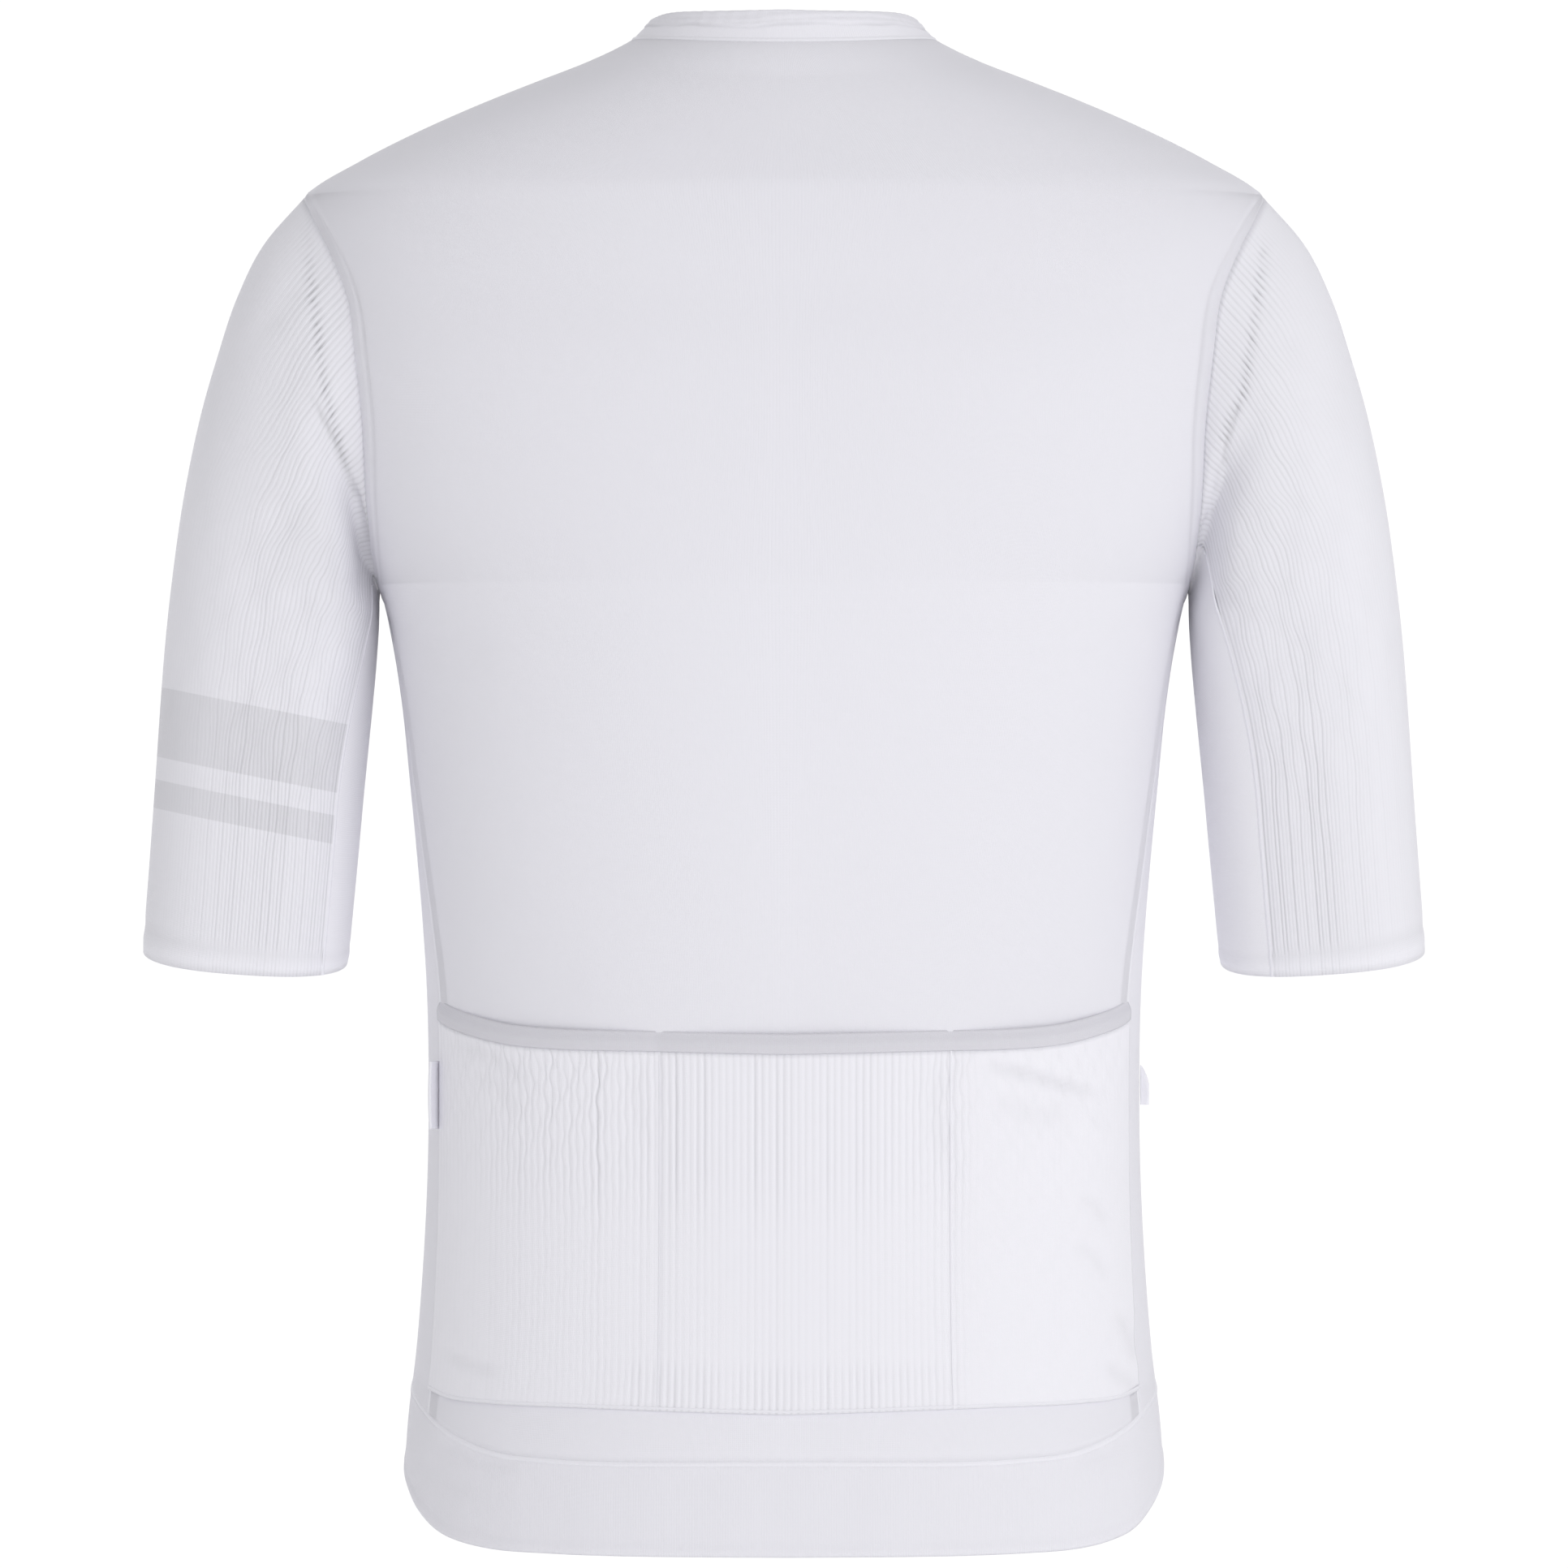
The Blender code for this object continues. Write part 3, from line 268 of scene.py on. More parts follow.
def line_z(zone, share, angle):
    """Height of a line round the body, in a zone between two of its level lines."""
    degrees = np.degrees(angle)
    mouth, foot = LINE["pocket_mouth"](degrees), LINE["pocket_foot"](degrees)
    band, hem = LINE["band_seam"](degrees), LINE["hem"](degrees)
    ends = {"top": (SIDE_TOP_Z, mouth), "tape": (mouth, mouth - TAPE_WIDTH),
            "pocket": (mouth - TAPE_WIDTH, foot), "foot": (foot, band), "band": (band, hem)}
    return mix(*ends[zone], share)


def seam_angle(zone, share, behind):
    """The side seam's angle on a line; it depends on the height, which depends on the angle."""
    angle = np.full(np.shape(share), 0.3 if behind else -0.3)
    for _ in range(SEAM_ROUNDS):
        z = line_z(zone, share, angle)
        angle = np.radians(BACK_SEAM(z)) if behind else -np.radians(FRONT_SEAM(z))
    if zone == "top":
        start = SIDE_TOP_ANGLE if behind else -FRONT_TOP_ANGLE
        angle = mix(start, angle, ease(share / SEAM_START))
    return angle


def lower_spot(zone, share_down, share, behind):
    """Angle and height below the underarm, from the side seam (0) to the middle (1)."""
    start = seam_angle(zone, share_down, behind)
    middle_z = line_z(zone, share_down, QUARTER if behind else -QUARTER)
    end = QUARTER if behind else angle_at_x(ZIP_HALF_WIDTH, middle_z, False)
    angle = mix(start, end, share)
    return angle, line_z(zone, share_down, angle)


def side_spot(zone, share_down, share):
    """Angle and height on the side panel: share 0 is its front seam, 1 its back seam."""
    front, back = seam_angle(zone, share_down, False), seam_angle(zone, share_down, True)
    angle = np.where(share < 0.5, mix(front, 0, share * 2), mix(0, back, share * 2 - 1))
    if zone != "top":
        return angle, line_z(zone, share_down, angle)
    from_middle = share * 2 - 1
    turn = np.where(from_middle < 0, -1, 1) * (math.pi - (math.pi - LAST_TURN) * abs(from_middle))
    arm_angle, arm_z = armhole_spot(turn)
    blend = np.clip(share_down / SIDE_START, 0, 1)
    angle = mix(arm_angle, angle, blend)
    return angle, mix(arm_z, line_z(zone, share_down, angle), blend)


ZONES = ("top", "tape", "pocket", "foot", "band")


def body_spot(down, share, spot_above, spot_below):
    """Angle and height all the way down a panel: rows 0 to 15, then one more for each zone."""
    angle, z = np.empty(np.shape(share)), np.empty(np.shape(share))
    above = down <= LAST_ROW
    if above.any():
        angle[above], z[above] = spot_above(down[above], share[above])
    for number, zone in enumerate(ZONES):
        first = LAST_ROW + number
        here = (down > first) & (down <= first + 1)
        if here.any():
            angle[here], z[here] = spot_below(zone, down[here] - first, share[here])
    return angle, z


print("the middle of the back ends at", round(float(line_z("band", 1, QUARTER)), 4))

# %% [markdown]
# ## One helper for every piece of cloth
# `bmesh.ops.create_grid` makes a flat net of squares, like cloth on the cutting table. The
# helper lays each corner where the pattern says, moves it out along the surface by a height
# for ribs, folds and seams, and writes a UV map in metres, so that a knit has one scale
# everywhere. A Solidify modifier then gives the cloth its thickness, inwards.

# %% A net and the way out of it
def grid_net(across, down):
    """A net of squares, and the place of each corner from 0 to 1, across and down."""
    net = bmesh.new()
    bmesh.ops.create_grid(net, x_segments=across, y_segments=down, size=0.5)
    flat = np.array([vert.co[:2] for vert in net.verts])
    return net, flat[:, 0] + 0.5, 0.5 - flat[:, 1]


def outward(place, u, v, hub):
    """The surface's normal at each corner, pointing away from the hub."""
    step = 2e-4
    lower, upper = np.clip(u - step, 0, 1), np.clip(u + step, 0, 1)
    above, below = np.clip(v - step, 0, 1), np.clip(v + step, 0, 1)
    normal = np.cross(place(upper, v) - place(lower, v), place(u, below) - place(u, above))
    normal /= np.linalg.norm(normal, axis=1, keepdims=True) + 1e-12
    away = place(u, v) - hub(place(u, v))
    return normal * np.sign(np.sum(normal * away))


def axis_of_body(points):
    return points * np.array((0, 0, 1.0))


def add_piece(name, net):
    """Turns a net into an object of its own, with smooth faces."""
    for face in net.faces:
        face.smooth = True
    mesh = bpy.data.meshes.new(name)
    net.to_mesh(mesh)
    net.free()
    piece = bpy.data.objects.new(name, mesh)
    bpy.context.scene.collection.objects.link(piece)
    print(name, len(mesh.polygons), "faces")
    return piece


print("a net of 2 by 1 squares has", len(grid_net(2, 1)[1]), "corners")

# %% [markdown]
# ### Laying the cloth
# The net's squares have to face outwards, or the wall would grow the wrong way. So one square
# in the middle is compared with the way out, and all are turned over when it disagrees.

# %% Lay a piece of cloth
def shell(name, across, down, place, hub, lift, thickness, marks=None):
    """A piece of cloth: a net laid by place(u, v), raised by lift(points, u, v).

    marks(points, u, v) gives named values for the corners, which the finishes read later.
    """
    net, u, v = grid_net(across, down)
    points = place(u, v)
    marked = marks(points, u, v) if marks else {}
    normals = outward(place, u, v, hub)
    if lift:
        points = points + normals * lift(points, u, v)[:, None]
    for vert, point in zip(net.verts, points):
        vert.co = point
    net.normal_update()
    net.faces.ensure_lookup_table()
    probe = net.faces[len(net.faces) // 2]
    if probe.normal.dot(Vector(normals[probe.verts[0].index])) < 0:
        bmesh.ops.reverse_faces(net, faces=net.faces)
    middle = points.reshape(down + 1, across + 1, 3)
    wide = np.linalg.norm(np.diff(middle[down // 2], axis=0), axis=1).sum()
    tall = np.linalg.norm(np.diff(middle[:, across // 2], axis=0), axis=1).sum()
    layer = net.loops.layers.uv.new("cloth")
    for face in net.faces:
        for corner in face.loops:
            index = corner.vert.index
            corner[layer].uv = (u[index] * wide, v[index] * tall)
    piece = add_piece(name, net)
    for mark, values in marked.items():
        layer = piece.data.attributes.new(mark, "FLOAT", "POINT")
        layer.data.foreach_set("value", np.ascontiguousarray(values, np.float32))
    wall = piece.modifiers.new("thickness", "SOLIDIFY")
    wall.thickness, wall.offset = thickness, -1
    print(f"    {wide:.3f} x {tall:.3f} m, {thickness * 1000:.1f} mm thick")


# %% [markdown]
# ## Folds drawn one by one
# A tight jersey has few folds, and each is there for a reason: it runs from where cloth is
# pinned to where it is pulled. So each fold is a line of two or three spots with a depth and
# a width, as one would sketch it, and not the outcome of a simulation.

# %% Distance from a line, and creases along it
def distance_to(points, path):
    """Each point's distance from a line of points, and how far along the line that is."""
    points, path = np.atleast_2d(points), np.asarray(path, float)
    nearest, along = np.full(len(points), 1e9), np.zeros(len(points))
    legs = np.linalg.norm(np.diff(path, axis=0), axis=1)
    passed = 0.0
    for start, end, leg in zip(path, path[1:], legs):
        t = np.clip((points - start) @ (end - start) / leg ** 2, 0, 1)
        away = np.linalg.norm(points - start - t[:, None] * (end - start), axis=1)
        closer = away < nearest
        nearest = np.where(closer, away, nearest)
        along = np.where(closer, (passed + t * leg) / legs.sum(), along)
        passed += leg
    return nearest, along


FADE_OUT = 3.2           # a crease fades over its outer 1 / 3.2 at each end


def creases(points, behind, table):
    """Soft troughs (below 0) and ridges drawn on the garment as seen from behind or in front."""
    seen = points[:, [0, 2]]
    height = np.zeros(len(points))
    facing = (points[:, 1] > 0) == behind
    for path, depth, width in table:
        away, along = distance_to(seen, path)
        ends = ease(along * FADE_OUT) * ease((1 - along) * FADE_OUT)
        height += depth * ends * bump_at(away, width) * facing
    return height


print("a spot 3 mm off a line, half way:",
      [value.tolist() for value in distance_to((0.05, 0.003), ((0, 0), (0.1, 0)))])

# %% [markdown]
# ## The armhole
# Where a sleeve is sewn in, the seam allowance lies inside against the body and shows through
# as a soft raised band, about 5 mm wide. The band is geometry here: the cloth is lifted near
# the armhole's line. Cloth that lies double also lets less of the dark inside through, so it
# looks a little whiter, and the corners carry that as a mark for the finish to read.

# %% Armhole line and its band
ARMHOLE = {side: body_point(side, *armhole_spot(np.linspace(0, 2 * math.pi, 97)))
           for side in (1, -1)}
ALLOWANCE, ALLOWANCE_EDGE, ALLOWANCE_RISE = 0.0058, 0.0018, 0.00042   # width, soft edge, height
DOUBLE_CLOTH, DOUBLE_EDGE = 0.0078, 0.0030    # width of the whiter cloth, and its soft edge


def allowance(points, line):
    """A raised band along a line, flat on top and soft at its far edge."""
    return ALLOWANCE_RISE * ease((ALLOWANCE - distance_to(points, line)[0]) / ALLOWANCE_EDGE)


def doubled_at(*lines):
    """Marks the cloth that lies double beside seams, which looks whiter than one layer."""
    def marks(points, u, v):
        near = [ease((DOUBLE_CLOTH - distance_to(points, line)[0]) / DOUBLE_EDGE) for line in lines]
        return {"double": np.max(near, axis=0)}
    return marks


print("armhole round", round(float(travelled(ARMHOLE[1])[-1]), 3))

# %% [markdown]
# ## Back and fronts
# The back is one piece from armhole to armhole. Its net is closer set at the armholes, where
# the raised band needs it. The cloth is smooth and tight, so it only has a few long, very
# shallow pulls, which start at the underarms.

# %% Back panel
CLOTH = 0.0010
BACK_PULLS = (
    (((0.176, -0.246), (0.150, -0.262), (0.118, -0.270)), -0.0009, 0.0075),
    (((-0.176, -0.247), (-0.152, -0.258), (-0.126, -0.272)), -0.0008, 0.0070),
    (((0.132, -0.392), (0.112, -0.403), (0.080, -0.412)), -0.0006, 0.0080),
    (((-0.130, -0.392), (-0.116, -0.401), (-0.095, -0.410)), -0.0007, 0.0075),
)


def stops(where, *pairs):
    """Numbers that run evenly between the given (from, to) pairs, closer set where wanted."""
    return np.interp(where, [pair[0] for pair in pairs], [pair[1] for pair in pairs])


def back_place(u, v):
    """The net's rows and columns, set closer at the armholes and at the pocket's lines."""
    u = stops(u, (0, 0), (.09, .03), (.91, .97), (1, 1))
    down = stops(v, (0, 0), (.25, 4), (.62, 15), (.94, 16), (.95, 17), (.97, 18), (1, 19))
    angle, z = body_spot(down, 1 - np.abs(2 * u - 1),
                         lambda row, share: upper_spot(row, share, True),
                         lambda zone, row, share: lower_spot(zone, row, share, True))
    return body_point(np.where(u <= 0.5, 1, -1), angle, z)


def back_lift(points, u, v):
    band = sum(allowance(points, line) for line in ARMHOLE.values())
    return band + creases(points, True, BACK_PULLS)


shell("back_cloth", 150, 150, back_place, axis_of_body, back_lift, CLOTH,
      doubled_at(*ARMHOLE.values()))

# %% [markdown]
# The two fronts meet the zip. They drape a little more freely than the back: a few soft pulls
# run from the underarm towards the zip, and some lie across the waist.

# %% Fronts
FRONT_PULLS = (
    (((0.168, -0.150), (0.140, -0.178), (0.104, -0.190)), -0.0011, 0.0080),
    (((0.166, -0.215), (0.128, -0.224), (0.078, -0.214)), -0.0012, 0.0085),
    (((0.160, -0.262), (0.122, -0.288), (0.090, -0.330)), -0.0010, 0.0095),
    (((0.150, -0.390), (0.110, -0.380), (0.062, -0.392)), -0.0009, 0.0080),
    (((0.148, -0.455), (0.104, -0.470), (0.052, -0.462)), -0.0010, 0.0090),
    (((0.120, -0.062), (0.092, -0.096), (0.070, -0.140)), -0.0008, 0.0085),
    (((0.024, -0.300), (0.036, -0.336), (0.026, -0.380)), -0.0007, 0.0070),
)


def mirrored(table, shift=0.0):
    """The same creases on the other side, moved a little, as no two sides fold alike."""
    return tuple((tuple((-x, z + shift) for x, z in path), depth * 0.9, width * 1.08)
                 for path, depth, width in table)


def front_place(side):
    def place(u, v):
        share = stops(u, (0, 0), (.13, .06), (.93, .97), (1, 1))
        down = stops(v, (0, 0), (.25, 4), (.2572, 4.5), (.58, 15), (.85, 16), (.87, 17),
                     (.97, 18), (1, 19))
        angle, z = body_spot(down, share, lambda row, part: upper_spot(row, part, False),
                             lambda zone, row, part: lower_spot(zone, row, part, False))
        return body_point(side, angle, z)
    return place


def front_lift(side):
    folds = FRONT_PULLS if side == 1 else mirrored(FRONT_PULLS, -0.006)

    def lift(points, u, v):
        return allowance(points, ARMHOLE[side]) + creases(points, False, folds)
    return lift


SIDES = (("left", 1), ("right", -1))     # the wearer's left is +X
for label, side in SIDES:
    shell("front_cloth_" + label, 90, 140, front_place(side), axis_of_body, front_lift(side),
          CLOTH, doubled_at(ARMHOLE[side]))

# %% [markdown]
# ## Side panels
# A narrow panel runs down each side, from the bottom of the armhole to the band. It lets the
# body curve in at the waist without a dart.

# %% Side panels
def side_place(side):
    def place(u, v):
        down = stops(v, (0, LAST_ROW + 1e-9), (.52, 16), (.55, 17), (.95, 18), (1, 19))
        angle, z = body_spot(down, u, None, side_spot)
        return body_point(side, angle, z)
    return place


for label, side in SIDES:
    shell("side_cloth_" + label, 30, 120, side_place(side), axis_of_body,
          lambda points, u, v: allowance(points, ARMHOLE[side]), CLOTH, doubled_at(ARMHOLE[side]))

# %% [markdown]
# ## Hem band
# A broad elastic band grips the hips. It is sewn to the body with a flat seam that stands up
# as a thin ridge, dips at the back and turns up at the sides.

# %% Hem band
def even_angle(u, start, zone, share):
    """Side and angle from a start angle by the back to its mirror, in even steps of cloth."""
    sample = np.linspace(start, QUARTER, 200)
    length = travelled(body_point(1, sample, line_z(zone, share, sample)))
    side = np.where(u <= 0.5, 1, -1)
    return side, np.interp((1 - np.abs(2 * u - 1)) * length[-1], length, sample)


def round_body(u, zone, share):
    """Side and angle round the body, from one edge of the zip by the back to the other."""
    start = float(angle_at_x(ZIP_HALF_WIDTH, line_z(zone, share, -QUARTER), False))
    return even_angle(u, start, zone, share)


BAND_FOLDS = (
    (((0.152, -0.603), (0.136, -0.612), (0.112, -0.616)), -0.0009, 0.0030),
    (((0.158, -0.612), (0.147, -0.622), (0.132, -0.628)), -0.0006, 0.0040),
    (((-0.154, -0.600), (-0.140, -0.609), (-0.120, -0.614)), -0.0008, 0.0032),
)


def band_place(u, v):
    side, angle = round_body(u, "band", 0.5)
    return body_point(side, angle, line_z("band", v, angle))


def band_lift(points, u, v):
    """A soft edge at the seam, a turned lower edge, and the waver of stretched elastic."""
    seam = 0.0004 * bump_at(v - 0.040, 0.024)
    turned = 0.00045 * ease((v - 0.86) / 0.03) - 0.0005 * ease((v - 0.97) / 0.03)
    wander = 0.00016 * np.sin(u * 71) * np.sin(v * 2.6 + u * 23) + 0.0001 * np.sin(u * 173 + 1)
    return seam + turned + wander * ease(v / 0.12) + creases(points, True, BAND_FOLDS)


shell("hem_band_cloth", 420, 30, band_place, axis_of_body, band_lift, 0.0013)

# %% [markdown]
# ## Pocket
# One ribbed piece lies over the lower back, caught at its foot, its sides and two dividing
# seams, so it makes three pockets. Each rib of the knit is real relief here: a broad crest and
# a narrow groove, with four squares to a rib. Empty pockets stand a little open at the mouth.

# %% The groove between two ribs
def rib_groove(phase):
    """Depth from 0 to 1: narrow grooves at whole numbers, broad crests between."""
    return (0.5 + 0.5 * np.cos(2 * math.pi * phase)) ** 2.2


def unlike(phase, low, high):
    """A value between low and high for each rib, since no two ribs are drawn in alike."""
    chance = np.mod(np.sin(np.floor(phase + 0.5) * 12.9898) * 43758.5453, 1)
    return mix(low, high, chance ** 2)


print("six ribs:", unlike(np.arange(6), 0, 1).round(2))

# %% [markdown]
# ### Where the pocket lies
# The pocket follows the back a wall's thickness further out, and further still in the middle
# of each compartment at the mouth. Its columns are even steps of cloth, so that all ribs are
# equally wide round the curve of the back.

# %% Laying cloth on the back
POCKET_SEAMS_X = (0.0533, -0.0713)
POCKET_FULLNESS, POCKET_CLOTH, ON_PANEL = 0.0022, 0.0009, 0.0005
POCKET_EDGE_X = float(abs(body_point(1, math.radians(19), -0.43)[0]))
POCKET_RIBS, RIB_DEPTH = 112, 0.00042


def fullness(x, share_down):
    """How far the pocket stands off the back: full at the mouth, flat at each seam."""
    stands = (POCKET_EDGE_X, *POCKET_SEAMS_X, -POCKET_EDGE_X)
    full = np.zeros(np.shape(x))
    for outer, inner in zip(stands, stands[1:]):
        part = np.clip((outer - x) / (outer - inner), 0, 1)
        full += np.sin(math.pi * part) ** 0.8 * ((x <= outer) & (x > inner))
    return POCKET_FULLNESS * full * (1 - ease(share_down)) ** 0.7


def pocket_shares(u):
    """Side, and share of the way from the side seam to the middle of the back."""
    start = float(seam_angle("pocket", np.array([0.5]), True)[0])
    side, angle = even_angle(u, start, "pocket", 0.5)
    return side, (angle - start) / (QUARTER - start)


def on_back(zone_of, stand, waver=None):
    """A place function for what lies on the back between the side seams."""
    def place(u, v):
        side, share = pocket_shares(u + waver(u, v) / POCKET_RIBS if waver else u)
        zone, down, full_down = zone_of(v)
        angle, z = lower_spot(zone, down, share, True)
        base = body_point(side, angle, z)
        step = 1e-4
        around = body_point(side, angle + step, z) - base
        below = body_point(side, angle, z - step) - base
        normal = np.cross(around, below)
        normal /= np.linalg.norm(normal, axis=1, keepdims=True)
        normal *= np.sign(normal[:, 1:2] + 1e-9)
        return base + normal * (stand + fullness(base[:, 0], full_down))[:, None]
    return place


print("the pocket stands off", round(float(fullness(0.0, 0.0)) * 1000, 2), "mm at its mouth")

# %% [markdown]
# ### Ribs and folds of the pocket
# The middle pocket hangs plain, so its ribs run straight. The outer ones are pulled by the side
# seams: their ribs waver or fade, and short folds run in from the mouth's and foot's corners.

# %% Pocket panel
DEEPEST_FOLD = 0.0015    # a fold this deep has the full mark
POCKET_FOLDS = (  # path as seen from behind, depth, width
    (((-0.0800, -0.4410), (-0.1080, -0.4480), (-0.1215, -0.4522), (-0.1412, -0.4570)),
     -0.0015, .0028),
    (((-0.0850, -0.4560), (-0.1060, -0.4640), (-0.1320, -0.4660)), -0.0006, .0048),
    (((-0.1200, -0.4610), (-0.1330, -0.4720), (-0.1430, -0.4760)), 0.0006, .0030),
    (((-0.1250, -0.4990), (-0.1350, -0.5040), (-0.1400, -0.5140)), -0.0006, .0026),
    (((-0.1230, -0.5180), (-0.1340, -0.5260), (-0.1400, -0.5370)), -0.0006, .0026),
    (((-0.1420, -0.5480), (-0.1500, -0.5600), (-0.1530, -0.5740)), -0.0008, .0032),
    (((-0.1360, -0.5700), (-0.1460, -0.5780), (-0.1560, -0.5830)), -0.0008, .0030),
    (((0.1460, -0.4330), (0.1270, -0.4400), (0.1080, -0.4530)), -0.0008, .0035),
    (((0.1380, -0.4460), (0.1230, -0.4530), (0.1150, -0.4680)), -0.0005, .0035),
    (((0.1500, -0.5660), (0.1360, -0.5720), (0.1200, -0.5760)), -0.0008, .0030),
    (((0.0600, -0.4350), (0.0640, -0.4560), (0.0600, -0.4820)), -0.0004, .0040),
    (((-0.0680, -0.4370), (-0.0640, -0.4600), (-0.0680, -0.4900)), -0.0005, .0040),
)


def pocket_zone(v):
    return "pocket", v, mix(0.05, 1, v)


def pocket_rib_waver(u, v):
    """The ribs wander sideways, more in the outer pockets than in the middle one."""
    outer = ease((np.abs(u - 0.5) - 0.10) / 0.2) * ease(u / 0.02) * ease((1 - u) / 0.02)
    loose = mix(1.4, 0.5, ease(v / 0.45))
    return outer * loose * (0.16 * np.sin(v * 13 + u * 31) + 0.14 * np.sin(v * 47 + u * 157)
                            + 0.12 * np.sin(v * 83 - u * 283))


def pocket_rib_depth(x, u, v):
    """Ribs are plain in the middle pocket and fade where the outer pockets pull flat."""
    fade = mix(1, 0.10, ease((-0.070 - x) / 0.016)) * mix(1, 0.35, ease((x - 0.098) / 0.034))
    down = mix(1.15, 0.42, ease((v - 0.30) / 0.25)) + 0.75 * ease((v - 0.84) / 0.06) * ease(
        (0.085 - np.abs(x)) / 0.03)
    uneven = 0.85 + 0.22 * np.sin(u * 37 + 1.3) * np.sin(u * 91) + 0.16 * np.sin(u * 190 + v * 5)
    return fade * down * uneven * unlike(u * POCKET_RIBS, 0.70, 1.35)


def pocket_lift(points, u, v):
    """Folds, ribs that end short of every edge and seam, and a dent along each seam."""
    x = points[:, 0]
    seams = sum(bump_at(x - seam, 0.0011) for seam in POCKET_SEAMS_X)
    edge = ease(v / 0.02) * ease((1 - v) / 0.012) * (1 - seams * 0.8)
    ribs = RIB_DEPTH * rib_groove(u * POCKET_RIBS) * pocket_rib_depth(x, u, v) * edge
    return creases(points, True, POCKET_FOLDS) - ribs - 0.0001 * seams


# The crease mark paints shade into the pocket's folds, deepest in the deepest, and the groove mark
# paints shade into the valleys between its ribs.
def pocket_marks(points, u, v):
    folds = creases(points, True, POCKET_FOLDS)
    return {"rib": u * POCKET_RIBS, "groove": pocket_rib_depth(points[:, 0], u, v),
            "crease": np.clip(-folds / DEEPEST_FOLD, 0, 1)}


shell("pocket_cloth", POCKET_RIBS * 4, 70,
      on_back(pocket_zone, ON_PANEL + POCKET_CLOTH, pocket_rib_waver), axis_of_body, pocket_lift,
      POCKET_CLOTH, pocket_marks)

# %% [markdown]
# ### Pocket tape
# A grey tape binds the mouth. It lies level across the middle and climbs to the side seams. A
# bar tack holds it at each compartment's seam, and its upper part leans in to the back, so no
# dark gap shows above it.

# %% Pocket tape
TACKS_X = (0.0556, -0.0675)
TACK_DEPTH, LEAN_IN = 0.0003, 0.0019
LEANING = 0.60           # share of the tape that leans in


def tape_zone(v):
    return "tape", v, mix(0.0, 0.05, v)


def tape_lift(points, u, v):
    tacks = sum(bump_at(points[:, 0] - tack, 0.0010) for tack in TACKS_X)
    return (-TACK_DEPTH * tacks * np.sin(v * math.pi)
            - LEAN_IN * ease((LEANING - v) / LEANING))


shell("pocket_tape_cloth", 300, 10, on_back(tape_zone, ON_PANEL + POCKET_CLOTH + 0.0003),
      axis_of_body, tape_lift, 0.0010)

# %% [markdown]
# ## Sleeves
# A sleeve is a tube of rings too: each ring has an outer edge and an inner edge, and the first
# ring is the armhole itself. `turn` goes round from the top of the sleeve, by the back.
# The ribbed knit covers most of it, and a smooth piece closes it under the arm.

# %% The sleeve's measures
SLEEVE_SECTIONS = (  # share of length: outer edge x and z, inner edge x and z, depth, middle y
    (0.00, 0.2075, -0.0680, 0.1752, -0.2400, 0.058, -0.002),
    (0.06, 0.2242, -0.0868, 0.1755, -0.2440, 0.062, -0.003),
    (0.14, 0.2368, -0.1105, 0.1758, -0.2490, 0.0645, -0.004),
    (0.23, 0.2466, -0.1390, 0.1763, -0.2560, 0.0645, -0.005),
    (0.33, 0.2547, -0.1673, 0.1770, -0.2640, 0.0620, -0.006),
    (0.43, 0.2614, -0.1998, 0.1780, -0.2760, 0.0580, -0.007),
    (0.53, 0.2661, -0.2323, 0.1795, -0.2920, 0.0545, -0.008),
    (0.64, 0.2697, -0.2651, 0.1815, -0.3120, 0.0515, -0.009),
    (0.73, 0.2719, -0.2933, 0.1833, -0.3300, 0.0492, -0.010),
    (0.82, 0.2740, -0.3233, 0.1853, -0.3520, 0.0470, -0.011),
    (0.91, 0.2764, -0.3558, 0.1876, -0.3760, 0.0452, -0.012),
    (1.00, 0.2795, -0.3950, 0.1900, -0.4010, 0.0435, -0.013),
)
SLEEVE_LENGTH, CUFF_DROP, SLEEVE_BLEND, SLEEVE_STANDOFF = 0.345, 0.0080, 0.42, 0.0005
SLEEVE_SQUARE = 2.5      # how square the sleeve's section is: 2 is an ellipse
UNDER_SEAMS = {"left": ((160, 136.5), (205, 222.5)), "right": ((141, 120), (200, 213.5))}
(SLEEVE_OUT_X, SLEEVE_OUT_Z, SLEEVE_IN_X, SLEEVE_IN_Z, SLEEVE_HALF_DEPTH,
 SLEEVE_MIDDLE_Y) = columns(SLEEVE_SECTIONS)


def vectors(x, y, z):
    """Points from their three numbers, any of which may be one number for all."""
    return np.stack(np.broadcast_arrays(x, y, z), axis=-1)


def sleeve_ring(share, turn):
    """Middle of the sleeve's ring, and its point at a turn."""
    out = vectors(SLEEVE_OUT_X(share), 0.0, SLEEVE_OUT_Z(share))
    inside = vectors(SLEEVE_IN_X(share), 0.0, SLEEVE_IN_Z(share))
    middle = (out + inside) / 2 + vectors(0.0, SLEEVE_MIDDLE_Y(share), 0.0)
    depth = vectors(0.0, SLEEVE_HALF_DEPTH(share), -CUFF_DROP * share * share)
    c, s = np.cos(turn), np.sin(turn)
    square = (np.abs(c) ** SLEEVE_SQUARE + np.abs(s) ** SLEEVE_SQUARE) ** (-1 / SLEEVE_SQUARE)
    return middle, (middle + (out - inside) / 2 * (c * square)[..., None]
                    + depth * (s * square)[..., None])


print("cuff's middle at", sleeve_ring(np.ones(1), np.zeros(1))[0][0].round(4))

# %% [markdown]
# ### A point of the sleeve
# Near the armhole the ring takes the armhole's own shape and eases out of it, and two deep
# folds hang from the shoulder into the underarm, one behind and one in front.

# %% A point of the sleeve
DRAG_FOLDS = {  # the deep folds from the underarm: path x, z, depth, width
    "back": (((0.207, -0.150), (0.181, -0.212), (0.1775, -0.236)), 0.0055, 0.0085),
    "front": (((0.212, -0.158), (0.188, -0.205), (0.1785, -0.234)), 0.0040, 0.0095),
}


